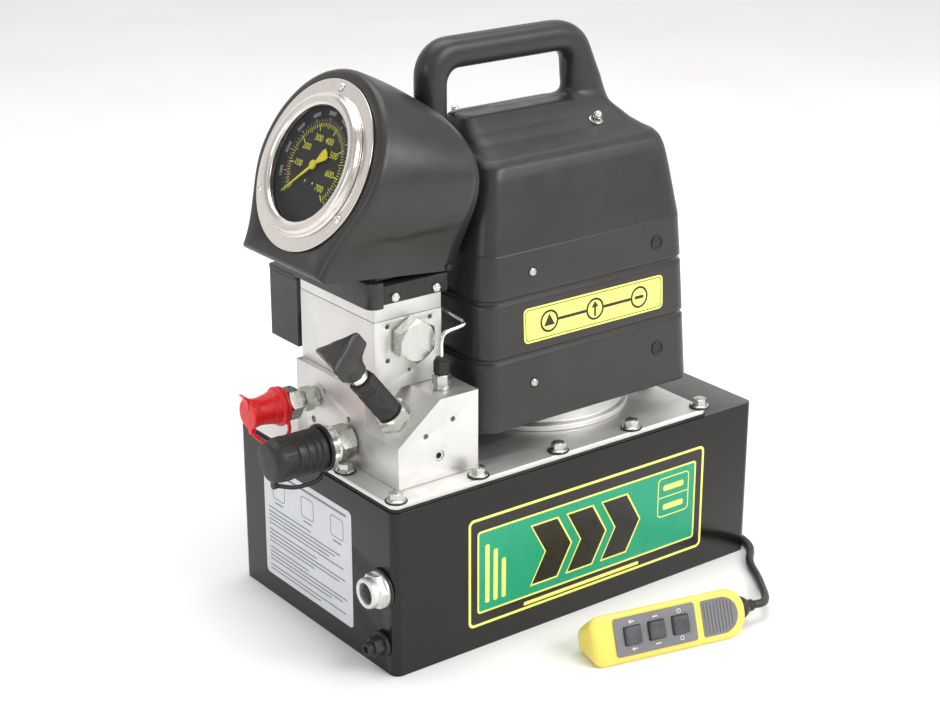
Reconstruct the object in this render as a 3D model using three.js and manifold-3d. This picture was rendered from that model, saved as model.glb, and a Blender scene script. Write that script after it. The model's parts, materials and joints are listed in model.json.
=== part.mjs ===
// Portable electric hydraulic power unit: an oil tank with a cover plate, a manifold with a
// solenoid-valve column, a panel gauge in a moulded cowl, a motor under a two-part shroud with a
// carrying handle, quick couplers with dust caps, and a push-button pendant on a cord.
// Millimetres, +Z up. The origin is the centre of the tank's underside, the tank's long side
// runs along X, and the manifold, gauge and couplers are at the -X end.
import * as THREE from "three";
import { mergeVertices } from "three/addons/utils/BufferGeometryUtils.js";
import Module from "manifold-3d";

const wasm = await Module();
wasm.setup();

// ---------------------------------------------------------------- driving dimensions
const GAP = 0.3; // clearance left between touching pieces
const ROUND = 24; // sides of a large round piece
const SMALL_ROUND = 12; // sides of a small round piece

const TANK = { length: 366, depth: 218, height: 136, wall: 2, corner: 7 };
const TANK_OPENING = { x0: -166, x1: 116, halfDepth: 92 };
const PLATE = { x0: -181.5, x1: 132, halfDepth: 107.5, bottom: 138, top: 142.5, corner: 6 };
const BLOCK = { x0: -163.5, x1: -89.5, y0: -88.7, y1: 49.5, bottom: 142.8, top: 206.8 };
const CHAMFER = { lowZ: 176.5, highX: -125, backY: -44.7 };
const COLUMN = { x0: -157.7, x1: -96.5, y0: -51.5, y1: 49.5, bottom: 207.1, seam: 263, top: 288.5 };
const COWL_BASE = { plateBottom: 294, plateTop: 296, skirtBottom: 275.5, left: -165, front: -57.5 };
const BOX = { x0: -158, x1: -84, y0: 54.5, y1: 94, bottom: 213, top: 268, wall: 2.5 };

const GAUGE = { x: -172.8, z: 375, tilt: 26.5, flange: 66, caseRadius: 50, caseDepth: 32 };
const COWL = { wall: 3, halfWidth: 76.5, rise: 75.5, bottomHalf: 54.5, drop: 77 };
const COWL_REAR = { x: -80, lean: 7, z: 365, halfWidth: 77, rise: 48, bottomHalf: 54.5, drop: 73.5 };

const RELIEF = { x: -148, y: -64, base: 0.3, nutHeight: 10.2, bodyTop: 50, knobTop: 86 };
const PRESSURE_PORT = { y: -25, z: 163 };
const RETURN_PORT = { y: 23, z: 183 };
const PILOT_FITTING = { x: -110.5, y: -70.6 };

const MOTOR = { x: 36, y: 0, shaft: 8 };
const SHROUD = { x0: -82, x1: 135, halfDepth: 85, bottom: 163, corner: 16, wall: 3.5 };
// How far each side of the shroud leans in at each height: a moulding draft, then a steeper cap.
const SHROUD_TAPER = [[163, 0], [266, 5.3], [303, 7.6], [340, 13.4], [357, 16.4], [366, 19.5]];
const SHROUD_GROOVES = [220, 266];
const HANDLE = { thickness: 25, barTop: 455, barBottom: 430.5, ridge: 394 };

const PENDANT = { x: -54.9, y: -192.4, yaw: -12.8, tilt: 21, length: 136, height: 42, depth: 28 };
const PANEL = { x0: 19, x1: 90, y0: 6.4, y1: 36.4 };
const BUTTON = { size: 14, pitch: 21, firstX: 34, y: 21.5 };
const CORD = { radius: 3.3, sides: 8, pitch: 6.9, columns: 3, layers: 3 };
const COIL = { x: -76, y: 166, meanRadius: 37.5 };

// ---------------------------------------------------------------- materials
const paint = (color, roughness, metalness = 0) =>
  new THREE.MeshStandardMaterial({ color, roughness, metalness });
const blackPaint = paint(0x26221f, 0.25);
const rubber = paint(0x191817, 0.8);
const aluminium = paint(0xc9c7c4, 0.35, 1);
const zinc = paint(0xa3a69c, 0.35, 1);
const steel = paint(0xd9d9d6, 0.22, 1);
const blackSteel = paint(0x2f2d2b, 0.5, 0.6);
const moulded = paint(0x2d2b29, 0.45);
const dialBlack = paint(0x16171a, 0.5);
const pointerYellow = paint(0xd6cf21, 0.5);
const clearGlass = paint(0xdfe6ea, 0.05);
const redPlastic = paint(0xd11d1f, 0.4);
const pendantYellow = paint(0xe8d044, 0.5);
const panelGrey = paint(0x77797c, 0.5);
const buttonGrey = paint(0x3f4144, 0.6);
const castIron = paint(0x55524f, 0.6, 0.5);
const copper = paint(0xa8693c, 0.4, 0.8);

// ---------------------------------------------------------------- geometry helpers
const degrees = (angle) => THREE.MathUtils.degToRad(angle);

function toSolid(geometry) {
  const bare = new THREE.BufferGeometry();
  const source = geometry.index ? geometry.toNonIndexed() : geometry;
  bare.setAttribute("position", source.getAttribute("position"));
  const merged = mergeVertices(bare, 1e-4);
  return new wasm.Manifold(
    new wasm.Mesh({
      numProp: 3,
      vertProperties: merged.attributes.position.array,
      triVerts: new Uint32Array(merged.index.array),
    }),
  );
}

function toGeometry(solid) {
  const mesh = solid.getMesh();
  const geometry = new THREE.BufferGeometry();
  geometry.setAttribute("position", new THREE.BufferAttribute(mesh.vertProperties, 3));
  geometry.setIndex(new THREE.BufferAttribute(mesh.triVerts, 1));
  return geometry;
}

const combine = (method) => (first, ...others) =>
  toGeometry(others.reduce((solid, other) => solid[method](toSolid(other)), toSolid(first)));
const join = combine("add");
const cut = combine("subtract");
const common = combine("intersect");

// A box between two opposite corners.
function box(x0, x1, y0, y1, z0, z1) {
  return new THREE.BoxGeometry(x1 - x0, y1 - y0, z1 - z0).translate(
    (x0 + x1) / 2,
    (y0 + y1) / 2,
    (z0 + z1) / 2,
  );
}

// A solid of revolution about +Z; the profile lists [radius, z] from the bottom up.
function turned(profile, sides = ROUND) {
  const points = profile.map(([radius, z]) => new THREE.Vector2(radius, z));
  return new THREE.LatheGeometry(points, sides).rotateX(Math.PI / 2);
}

const disc = (radius, z0, z1, sides = ROUND) =>
  turned([[0, z0], [radius, z0], [radius, z1], [0, z1]], sides);

const ring = (inner, outer, z0, z1, sides = ROUND) =>
  turned([[inner, z0], [outer, z0], [outer, z1], [inner, z1], [inner, z0]], sides);

// A hexagonal bar with its upper corners turned off.
function hexagon(acrossFlats, z0, z1) {
  const corner = acrossFlats / Math.sqrt(3);
  const bar = turned([[0, z0], [corner, z0], [corner, z1], [0, z1]], 6);
  const rim = (z1 - z0) * 0.15;
  const turnedCorners = turned(
    [[0, z0], [corner * 1.05, z0], [corner * 1.05, z1 - rim], [acrossFlats * 0.47, z1], [0, z1]],
    ROUND,
  );
  return common(bar, turnedCorners);
}

function roundedRectangle(x0, x1, y0, y1, radius) {
  const shape = new THREE.Shape();
  shape.absarc(x1 - radius, y0 + radius, radius, -Math.PI / 2, 0);
  shape.absarc(x1 - radius, y1 - radius, radius, 0, Math.PI / 2);
  shape.absarc(x0 + radius, y1 - radius, radius, Math.PI / 2, Math.PI);
  shape.absarc(x0 + radius, y0 + radius, radius, Math.PI, Math.PI * 1.5);
  return shape;
}

// A flat shape raised from z0 to z1.
function prism(shape, z0, z1, curveSegments = 5) {
  const options = { depth: z1 - z0, bevelEnabled: false, curveSegments };
  return new THREE.ExtrudeGeometry(shape, options).translate(0, 0, z0);
}

// A closed skin through a row of rings that hold the same number of points.
function loft(rings) {
  const count = rings[0].length;
  const positions = rings.flat().flatMap((point) => point.toArray());
  const index = [];
  for (let level = 0; level + 1 < rings.length; level += 1) {
    for (let side = 0; side < count; side += 1) {
      const next = (side + 1) % count;
      const a = level * count + side;
      const b = level * count + next;
      index.push(a, b, b + count, a, b + count, a + count);
    }
  }
  for (const [level, turn] of [[0, -1], [rings.length - 1, 1]]) {
    const centre = new THREE.Vector3();
    rings[level].forEach((point) => centre.addScaledVector(point, 1 / count));
    const hub = positions.length / 3;
    positions.push(...centre.toArray());
    for (let side = 0; side < count; side += 1) {
      const a = level * count + side;
      const b = level * count + ((side + 1) % count);
      index.push(hub, turn > 0 ? a : b, turn > 0 ? b : a);
    }
  }
  const geometry = new THREE.BufferGeometry();
  geometry.setAttribute("position", new THREE.Float32BufferAttribute(positions, 3));
  geometry.setIndex(index);
  return geometry;
}

// A round bar along a smooth curve through the points.
function tube(points, radius, sides, steps) {
  const section = new THREE.Shape();
  section.absarc(0, 0, radius, 0, Math.PI * 2);
  const path = new THREE.CatmullRomCurve3(points.map((p) => new THREE.Vector3(...p)));
  const options = { steps, extrudePath: path, curveSegments: sides / 2, bevelEnabled: false };
  return new THREE.ExtrudeGeometry(section, options);
}

const unit = new THREE.Group();

function addPart(parent, name, geometry, material) {
  const mesh = new THREE.Mesh(geometry, material);
  mesh.name = name;
  parent.add(mesh);
  return mesh;
}

function addFrame(parent, x, y, z) {
  const group = new THREE.Group();
  group.position.set(x, y, z);
  parent.add(group);
  return group;
}

// ---------------------------------------------------------------- tank and cover
const tankEnd = TANK.length / 2;
const tankSide = TANK.depth / 2;
const fittingY = -93;
const sightZ = 70;
const drainZ = 23;

// A bar through the tank's left wall.
const throughLeftWall = (radius, z) =>
  disc(radius, -6, 6, SMALL_ROUND).rotateY(Math.PI / 2).translate(-tankEnd, fittingY, z);

function tankShell() {
  const inner = { end: tankEnd - TANK.wall, side: tankSide - TANK.wall };
  const outerShape = roundedRectangle(-tankEnd, tankEnd, -tankSide, tankSide, TANK.corner);
  const innerShape = roundedRectangle(
    -inner.end, inner.end, -inner.side, inner.side, TANK.corner - TANK.wall,
  );
  return cut(
    prism(outerShape, 0, TANK.height),
    prism(innerShape, TANK.wall, TANK.height - TANK.wall),
    box(
      TANK_OPENING.x0, TANK_OPENING.x1, -TANK_OPENING.halfDepth, TANK_OPENING.halfDepth,
      TANK.height - 2 * TANK.wall, TANK.height + 1,
    ),
    throughLeftWall(10.5, sightZ),
    throughLeftWall(6.5, drainZ),
  );
}

addPart(unit, "tank", tankShell(), blackPaint);

const plateOutline = (grow) =>
  roundedRectangle(
    PLATE.x0 - grow, PLATE.x1 + grow, -PLATE.halfDepth - grow, PLATE.halfDepth + grow, PLATE.corner,
  );
const gasketOpening = box(
  TANK_OPENING.x0, TANK_OPENING.x1, -TANK_OPENING.halfDepth, TANK_OPENING.halfDepth, 130, 140,
);
addPart(unit, "tank_gasket", cut(prism(plateOutline(0.6), 136.2, 137.8), gasketOpening), rubber);

const shaftHole = disc(24, 130, 150).translate(MOTOR.x, MOTOR.y, 0);
addPart(
  unit, "cover_plate", cut(prism(plateOutline(0), PLATE.bottom, PLATE.top), shaftHole), aluminium,
);

// Sight glass and drain plug: turned pieces whose axis points out of the tank's left wall.
function outwardFrame(z) {
  const frame = addFrame(unit, -tankEnd, fittingY, z);
  frame.rotation.y = -Math.PI / 2;
  return frame;
}

const sightFrame = outwardFrame(sightZ);
const sightBezel = [
  [8, -7], [10, -7], [10, GAP], [14.5, GAP], [14.5, 3], [12.8, 3.5], [12.8, 14], [11.5, 16],
  [9.3, 16], [9.3, 12], [8, 12], [8, -7],
];
addPart(sightFrame, "sight_glass_bezel", turned(sightBezel), aluminium);
addPart(sightFrame, "sight_glass_lens", disc(9, 12.3, 14.5), clearGlass);

const drainBody = join(
  disc(6, -7, 1, SMALL_ROUND),
  disc(10, GAP, 2.5, ROUND),
  hexagon(14, 2.4, 11),
  disc(5, 10.9, 16, SMALL_ROUND),
);
const drainSocket = disc(2.6, 12, 17, 6);
addPart(outwardFrame(drainZ), "drain_plug", cut(drainBody, drainSocket), blackSteel);

// ---------------------------------------------------------------- manifold and valve column
// A blind hole into a -Y face, and one into a -X face.
const frontHole = (radius, x, face, z, depth) =>
  disc(radius, -1, depth, SMALL_ROUND).rotateX(-Math.PI / 2).translate(x, face, z);
const leftHole = (radius, face, y, z, depth) =>
  disc(radius, -1, depth, SMALL_ROUND).rotateY(Math.PI / 2).translate(face, y, z);

const chamferSlope = Math.atan2(BLOCK.top - CHAMFER.lowZ, CHAMFER.highX - BLOCK.x0);

function manifoldBlock() {
  const { x0, x1, y0, y1, bottom, top } = BLOCK;
  const wedge = new THREE.Shape();
  const reach = 10;
  wedge.moveTo(x0 - reach, CHAMFER.lowZ - reach * Math.tan(chamferSlope));
  wedge.lineTo(CHAMFER.highX + reach, top + reach * Math.tan(chamferSlope));
  wedge.lineTo(x0 - reach, top + reach * 3);
  const notchDepth = CHAMFER.backY - y0 + reach;
  const notch = prism(wedge, 0, notchDepth).rotateX(Math.PI / 2).translate(0, CHAMFER.backY, 0);
  const frontHoles = [[2.3, -113.3, 188.4], [2.3, -138.3, 180.3], [4.6, -126, 161.6]];
  const leftHoles = [[3, 26.9, 162.4], [2.4, -22.9, 178.5], [2.4, 10.5, 191]];
  return cut(
    box(x0, x1, y0, y1, bottom, top),
    notch,
    ...frontHoles.map(([radius, x, z]) => frontHole(radius, x, y0, z, 8)),
    ...leftHoles.map(([radius, y, z]) => leftHole(radius, x0, y, z, 8)),
  );
}

addPart(unit, "manifold_block", manifoldBlock(), aluminium);

function valveColumn() {
  const { x0, x1, y0, y1, bottom, seam } = COLUMN;
  const tapped = [-146, -107].flatMap((x) => [231, 258].map((z) => [x, z]));
  return cut(
    box(x0, x1, y0, y1, bottom, seam),
    ...tapped.map(([x, z]) => frontHole(2, x, y0, z, 9)),
    frontHole(1.5, -126.5, y0, 219.7, 5),
  );
}

addPart(unit, "valve_column", valveColumn(), aluminium);
addPart(
  unit, "column_cap",
  box(COLUMN.x0, COLUMN.x1, COLUMN.y0, COLUMN.y1, COLUMN.seam + GAP, COLUMN.top), aluminium,
);

const plugFrame = addFrame(unit, -126.5, COLUMN.y0, 245.5);
plugFrame.rotation.x = Math.PI / 2;
const plugHead = join(disc(15, GAP, 2), hexagon(31, 1.9, 12.5));
addPart(plugFrame, "column_hex_plug", plugHead, zinc);

// ---------------------------------------------------------------- gauge bracket and cowl base
const bracketTop = COLUMN.top + GAP + 2;
const bracketGeometry = join(
  box(-152.5, -92, COLUMN.y0 - 2.3, COLUMN.y0 - GAP, 276.5, bracketTop),
  box(-152.5, -92, COLUMN.y0 - 1, 44, COLUMN.top + GAP, bracketTop),
);
addPart(unit, "gauge_bracket", bracketGeometry, blackSteel);

for (const [name, x] of [["bracket_screw_left", -140.4], ["bracket_screw_right", -102.7]]) {
  const screwFrame = addFrame(unit, x, COLUMN.y0 - 2.3 - GAP, 281.2);
  screwFrame.rotation.x = Math.PI / 2;
  const head = turned([[0, 0], [3.7, 0], [3.7, 0.8], [2.4, 2.3], [0, 2.3]], SMALL_ROUND);
  addPart(screwFrame, name, cut(head, disc(1.3, 1, 3, 6)), steel);
}

// An upturned tray under the cowl: its skirt wraps the column's left side and front-left corner.
function cowlBase() {
  const { plateBottom, plateTop, skirtBottom, left, front } = COWL_BASE;
  const back = 46;
  const corner = 8;
  const thickness = 2.5;
  const skirtOuter = new THREE.Shape();
  skirtOuter.absarc(left + corner, front + corner, corner, Math.PI, Math.PI * 1.5);
  skirtOuter.lineTo(-153, front);
  skirtOuter.lineTo(-153, front + thickness);
  skirtOuter.absarc(
    left + corner, front + corner, corner - thickness, Math.PI * 1.5, Math.PI, true,
  );
  skirtOuter.lineTo(left + thickness, back);
  skirtOuter.lineTo(left, back);
  return join(
    prism(skirtOuter, skirtBottom, plateTop - 0.5),
    box(left + 1, -92, -48, back, plateBottom, plateTop),
    box(left + 1, -154, front + 2, -47, plateBottom, plateTop - 0.5),
  );
}

addPart(unit, "cowl_base", cowlBase(), moulded);

// ---------------------------------------------------------------- electrical box
const boxCavity = box(
  BOX.x0 + BOX.wall, BOX.x1 - BOX.wall, BOX.y0 + BOX.wall, BOX.y1 - BOX.wall,
  BOX.bottom + BOX.wall, BOX.top + 1,
);
const glandHole = (x) => disc(5, -8, 8, SMALL_ROUND).rotateX(Math.PI / 2).translate(x, BOX.y1, 240);
const boxBody = join(
  box(BOX.x0, BOX.x1, BOX.y0, BOX.y1, BOX.bottom, BOX.top),
  box(BOX.x0 + 8, BOX.x1 - 8, COLUMN.y1 + GAP, BOX.y0 + 1, BOX.bottom + 8, BOX.top - 12),
);
const glandXs = { pendant_gland: -96, mains_gland: -132 };
addPart(
  unit, "control_box", cut(boxBody, boxCavity, ...Object.values(glandXs).map(glandHole)), moulded,
);
addPart(
  unit, "control_box_cover",
  prism(roundedRectangle(BOX.x0 - 1, BOX.x1 + 1, BOX.y0 - 1, BOX.y1 + 1, 3), 268.3, 272.5), moulded,
);
addPart(unit, "motor_relay", box(-140, -100, 62, 86, BOX.bottom + BOX.wall + GAP, 252), panelGrey);

for (const [name, x] of Object.entries(glandXs)) {
  const glandFrame = addFrame(unit, x, BOX.y1, 240);
  glandFrame.rotation.x = -Math.PI / 2;
  const nut = [[4.8, -6], [4.8, GAP], [9, GAP], [9, 8], [8, 10], [5.2, 17], [0, 17]];
  addPart(glandFrame, name, turned([[0, -6], ...nut], 18), rubber);
}

// ---------------------------------------------------------------- gauge
// In the gauge's own frame +Z looks out of the dial, +Y is up the dial and +X is to its right.
const gaugeFrame = addFrame(unit, GAUGE.x, 0, GAUGE.z);
const tilt = degrees(GAUGE.tilt);
const gaugeNormal = new THREE.Vector3(-Math.cos(tilt), 0, Math.sin(tilt));
const gaugeUp = new THREE.Vector3(Math.sin(tilt), 0, Math.cos(tilt));
const gaugeRight = new THREE.Vector3(0, -1, 0);
gaugeFrame.quaternion.setFromRotationMatrix(
  new THREE.Matrix4().makeBasis(gaugeRight, gaugeUp, gaugeNormal),
);

const caseProfile = [
  [0, -GAUGE.caseDepth - 14], [8, -GAUGE.caseDepth - 14], [8, -GAUGE.caseDepth],
  [GAUGE.caseRadius, -GAUGE.caseDepth], [GAUGE.caseRadius, GAP], [GAUGE.flange, GAP],
  [GAUGE.flange, 2.1], [47, 2.1], [47, -GAUGE.caseDepth + 2], [0, -GAUGE.caseDepth + 2],
];
addPart(gaugeFrame, "gauge_case", turned(caseProfile, 36), steel);

const bezelProfile = [
  [47.5, 2.4], [54, 2.4], [54, 6], [52.6, 8.2], [50, 9.2], [46.5, 8.6], [44, 7.3], [47.5, 7.3],
  [47.5, 2.4],
];
addPart(gaugeFrame, "gauge_bezel", turned(bezelProfile, 36), steel);

const spindleHole = disc(1.8, -5, 5, SMALL_ROUND);
const movement = disc(10, -14, -0.5, SMALL_ROUND);
addPart(
  gaugeFrame, "gauge_dial",
  cut(join(disc(46, -0.8, 0), movement), spindleHole, disc(2.4, -12, -4, SMALL_ROUND)), dialBlack,
);
addPart(gaugeFrame, "gauge_lens", disc(46.5, 5, 7, 36), clearGlass);

function gaugePointer() {
  const needle = new THREE.Shape();
  needle.moveTo(-2.2, 0);
  needle.lineTo(-0.4, 37);
  needle.lineTo(0.4, 37);
  needle.lineTo(2.2, 0);
  needle.lineTo(4.2, -16);
  needle.lineTo(-4.2, -16);
  return join(
    prism(needle, 1.6, 2.2),
    disc(4, 1.2, 3, SMALL_ROUND),
    disc(1.2, -4, 2, SMALL_ROUND),
  );
}

const pointer = addPart(gaugeFrame, "gauge_pointer", gaugePointer(), pointerYellow);
pointer.rotation.z = degrees(135);

// ---------------------------------------------------------------- gauge cowl
const cowlSteps = 16;

// The arch of the cowl's section as [across, up] pairs: half an ellipse over sides that draw in
// to the bottom edge, easing out of the vertical. A skirt carries the sides straight down.
function archOutline({ halfWidth, rise, bottomHalf, drop }, inset, skirt) {
  const points = [];
  const straight = 6;
  for (let step = 0; step <= cowlSteps; step += 1) {
    const angle = (Math.PI * step) / cowlSteps;
    points.push([(halfWidth - inset) * Math.cos(angle), (rise - inset) * Math.sin(angle)]);
  }
  for (let step = 1; step <= straight; step += 1) {
    const t = step / straight;
    const ease = t * t * (3 - 2 * t);
    const across = halfWidth + (bottomHalf - halfWidth) * ease - inset;
    points.push([-across, -drop * t]);
    points.unshift([across, -drop * t]);
  }
  if (skirt > 0) {
    points.push([inset - bottomHalf, -drop - skirt]);
    points.unshift([bottomHalf - inset, -drop - skirt]);
  }
  return points;
}

const frontRing = (inset, depth, skirt = 0) =>
  archOutline(COWL, inset, skirt).map(([across, up]) =>
    new THREE.Vector3(GAUGE.x, 0, GAUGE.z)
      .addScaledVector(gaugeRight, across)
      .addScaledVector(gaugeUp, up)
      .addScaledVector(gaugeNormal, depth),
  );

// The rear rim leans forward towards its top and its bottom corners.
function rearRing(inset, beyond, skirt = 0) {
  return archOutline(COWL_REAR, inset, skirt).map(([across, up]) => {
    const reach = up > 0 ? COWL_REAR.rise : COWL_REAR.drop;
    const lean = COWL_REAR.lean * Math.min(1, Math.abs(up) / reach) ** 2;
    return new THREE.Vector3(COWL_REAR.x - lean + beyond, -across, COWL_REAR.z + up);
  });
}

function gaugeCowl() {
  const between = (a, b, t) => a.map((point, i) => point.clone().lerp(b[i], t));
  const shoulder = frontRing(0, -5);
  const rim = rearRing(0, 0);
  const outer = loft([
    rim,
    between(shoulder, rim, 0.5),
    shoulder,
    frontRing(1.2, -1.2),
    frontRing(4, 0),
  ]);
  const skirt = 20;
  const innerFront = frontRing(COWL.wall, -COWL.wall, skirt);
  const innerRim = rearRing(COWL.wall, 1, skirt);
  const inner = loft([innerRim, between(innerFront, innerRim, 0.5), innerFront]);
  const gaugeHole = disc(GAUGE.caseRadius + 1.5, -10, 10, 32);
  gaugeFrame.updateMatrixWorld(true);
  gaugeHole.applyMatrix4(gaugeFrame.matrixWorld);
  return cut(outer, inner, gaugeHole);
}

addPart(unit, "gauge_cowl", gaugeCowl(), moulded);

// ---------------------------------------------------------------- relief valve
// Its frame stands on the manifold's chamfer with +Z along the valve.
const reliefZ = CHAMFER.lowZ + (RELIEF.x - BLOCK.x0) * Math.tan(chamferSlope);
const reliefFrame = addFrame(unit, RELIEF.x, RELIEF.y, reliefZ);
reliefFrame.rotation.y = -chamferSlope;
const reliefNutTop = RELIEF.base + RELIEF.nutHeight;
addPart(
  reliefFrame, "relief_nut", hexagon(24, RELIEF.base, reliefNutTop).rotateZ(Math.PI / 6), zinc,
);

const reliefBody = cut(
  join(
    turned([
      [0, reliefNutTop + GAP], [9.6, reliefNutTop + GAP], [10, 12], [10, 39.5], [9.2, 40.5], [0, 40.5],
    ]),
    hexagon(18, 40, RELIEF.bodyTop),
  ),
  disc(4.4, 30, RELIEF.bodyTop + 1, SMALL_ROUND),
);
addPart(reliefFrame, "relief_body", reliefBody, blackSteel);

const collarTop = RELIEF.bodyTop + 7;
const stem = join(
  disc(3.9, 36, collarTop + 14, SMALL_ROUND),
  disc(7.2, RELIEF.bodyTop + GAP, collarTop, ROUND),
  disc(0.9, 0, 22, 8).rotateX(Math.PI / 2).rotateZ(degrees(201)).translate(0, 0, collarTop - 3.5),
);
addPart(reliefFrame, "relief_stem", stem, steel);

// A three-lobed knob: round at the hub, swelling to full lobes at the top.
function lobedRing(radius, lobe, z) {
  const count = 36;
  return Array.from({ length: count }, (_, i) => {
    const angle = (2 * Math.PI * i) / count;
    const reach = radius + lobe * ((1 + Math.cos(3 * (angle - degrees(17)))) / 2) ** 1.5;
    return new THREE.Vector3(-reach * Math.sin(angle), reach * Math.cos(angle), z);
  });
}

const knobBottom = collarTop + GAP;
const reliefKnob = cut(
  loft([
    lobedRing(9, 0, knobBottom),
    lobedRing(10, 1, knobBottom + 4),
    lobedRing(11, 9, 72),
    lobedRing(11.5, 11, 76),
    lobedRing(11.5, 11, 82),
    lobedRing(10, 9.5, 84.5),
    lobedRing(5, 2, RELIEF.knobTop),
  ]),
  disc(4.2, knobBottom - 1, collarTop + 15, SMALL_ROUND),
);
addPart(reliefFrame, "relief_knob", reliefKnob, moulded);

// ---------------------------------------------------------------- pilot tube and its fitting
const fittingFrame = addFrame(unit, PILOT_FITTING.x, PILOT_FITTING.y, BLOCK.top);
const fittingBody = join(disc(6.2, GAP, 4, ROUND), hexagon(13, 3.5, 12.2));
addPart(fittingFrame, "pilot_fitting", cut(fittingBody, disc(2, 5, 20, SMALL_ROUND)), zinc);
const fittingNut = join(hexagon(11, 12.5, 23), disc(4.6, 22.5, 25, SMALL_ROUND));
addPart(fittingFrame, "pilot_nut", cut(fittingNut, disc(2.1, 10, 30, SMALL_ROUND)), blackSteel);

const pilotRoute = [
  [-110.5, -70.6, 226], [-110.5, -70.6, 236], [-110.4, -70.6, 243], [-108.6, -70.6, 249],
  [-103, -70.5, 251.4], [-94, -70.5, 252.4], [-88.4, -69.6, 253.4], [-87, -66, 254.3],
  [-88.6, -58, 256.2], [-90.4, -48, 258.6], [-91, -36, 260.6], [-91.6, -26, 261.4],
  [-94, -21.6, 261.6], [-96.1, -21, 261.6],
];
addPart(unit, "pilot_tube", tube(pilotRoute, 1.6, 8, 32), steel);

// ---------------------------------------------------------------- quick couplers
// A coupler's frame starts on the manifold's left face with +Z pointing out along -X.
function couplerFrame({ y, z }) {
  const frame = addFrame(unit, BLOCK.x0, y, z);
  frame.rotation.y = -Math.PI / 2;
  return frame;
}

// A cap's eyelet strap: a flat ring on the coupler joined to a round loop that hangs under the cap.
const strap = (ringBody, route, radius) => join(ringBody, tube(route, radius, 6, 20));

const pressure = couplerFrame(PRESSURE_PORT);
addPart(
  pressure, "pressure_fitting", join(disc(9.5, GAP, 1.5), hexagon(24, 1.4, 15.5)), zinc,
);
const nipple = turned([
  [0, 15.8], [11, 15.8], [11, 26], [12, 28], [12, 52], [10.5, 58], [8.5, 63], [0, 63],
]);
addPart(pressure, "pressure_nipple", nipple, steel);
const sleeve = ring(11.4, 15.5, 16.1, 24.5, 36);
addPart(pressure, "pressure_sleeve", sleeve, steel);
const pressureCapProfile = [
  [12.5, 28.5], [15.6, 28.5], [16.8, 30], [16.8, 34], [16, 34.8], [16.8, 35.6], [16.8, 39],
  [16, 39.8], [16.8, 40.6], [16.8, 54], [16.1, 55], [16.8, 56], [16.8, 70], [15.2, 73.5], [11, 75],
  [0, 75.4], [0, 66], [12.5, 66], [12.5, 28.5],
];
const pressureCap = join(turned(pressureCapProfile), box(-22.5, -15, -2.5, 2.5, 67, 70.5));
addPart(pressure, "pressure_cap", pressureCap, rubber);
const pressureLoop = [
  [-18, 0, 26.8], [-21, -1, 27.2], [-24.4, -2, 31], [-25.6, -2.5, 40], [-25.2, -2, 52],
  [-22.6, -0.8, 61], [-21, 0, 65.6],
];
addPart(
  pressure, "pressure_cap_strap", strap(ring(13.4, 18.6, 25.3, 28.1), pressureLoop, 1.7), rubber,
);

const returnLine = couplerFrame(RETURN_PORT);
const returnFitting = join(
  disc(8, GAP, 3), hexagon(17, 2.9, 13), disc(7, 12.9, 18.2, ROUND), hexagon(23, 18, 29),
);
addPart(returnLine, "return_fitting", returnFitting, zinc);
const returnNipple = turned([[0, 29.3], [8, 29.3], [8, 50], [6.5, 55], [0, 55]]);
addPart(returnLine, "return_nipple", returnNipple, steel);
const returnCapProfile = [
  [8.5, 33.8], [15.4, 33.8], [15.8, 35], [15.4, 36.6], [13.4, 37], [13.2, 39], [9.6, 58],
  [9, 61.5], [0, 62], [0, 56.5], [8.5, 56.5], [8.5, 33.8],
];
const returnCap = join(
  turned(returnCapProfile),
  box(4, 16, -3.5, 3.5, 60, 63.5),
  box(-17.2, -8, -2.5, 2.5, 56.5, 60),
);
addPart(returnLine, "return_cap", returnCap, redPlastic);
const returnLoop = [
  [-9.5, -10.5, 31.9], [-16, -12.5, 32.4], [-22, -11, 35], [-26, -6, 41], [-25.4, -2, 49],
  [-20.5, 0, 54.5], [-18.5, 0, 56.1],
];
addPart(
  returnLine, "return_cap_strap", strap(ring(9, 15.2, 30.6, 33.4), returnLoop, 1.5), redPlastic,
);

// ---------------------------------------------------------------- motor, fan and pump
const motorFrame = addFrame(unit, MOTOR.x, MOTOR.y, 0);
const adapterProfile = [
  [22, 142.8], [78, 142.8], [78, 147], [74.5, 150], [73.5, 165], [70, 166.5], [9.5, 166.5],
  [9.5, 162], [22, 162], [22, 142.8],
];
addPart(motorFrame, "motor_adapter", turned(adapterProfile, 36), aluminium);

const housingProfile = [
  [9.5, 166.8], [60, 166.8], [60, 296], [54, 302], [9.5, 302], [9.5, 297], [50, 297], [50, 172],
  [9.5, 172], [9.5, 166.8],
];
addPart(motorFrame, "motor_housing", turned(housingProfile, 28), castIron);

const rotorProfile = [
  [0, 152], [MOTOR.shaft, 152], [MOTOR.shaft, 180], [46, 184], [46, 284], [20, 288],
  [MOTOR.shaft, 288], [MOTOR.shaft, 332], [0, 332],
];
addPart(motorFrame, "motor_rotor", turned(rotorProfile, 24), copper);

function coolingFan() {
  const hubBottom = 306;
  const blades = Array.from({ length: 9 }, (_, i) =>
    box(12, 54, -1, 1, hubBottom + 1, 322)
      .rotateX(degrees(14))
      .translate(0, hubBottom * Math.sin(degrees(14)), hubBottom * (1 - Math.cos(degrees(14))))
      .rotateZ((2 * Math.PI * i) / 9),
  );
  const bore = disc(MOTOR.shaft + GAP, hubBottom - 5, 340, SMALL_ROUND * 2);
  return cut(join(disc(54, hubBottom, hubBottom + 2.5), disc(15, hubBottom, 324), ...blades), bore);
}

addPart(motorFrame, "cooling_fan", coolingFan(), moulded);
addPart(
  motorFrame, "shaft_coupling", ring(MOTOR.shaft + GAP, 15, 144, 160, SMALL_ROUND * 2), steel,
);

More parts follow.
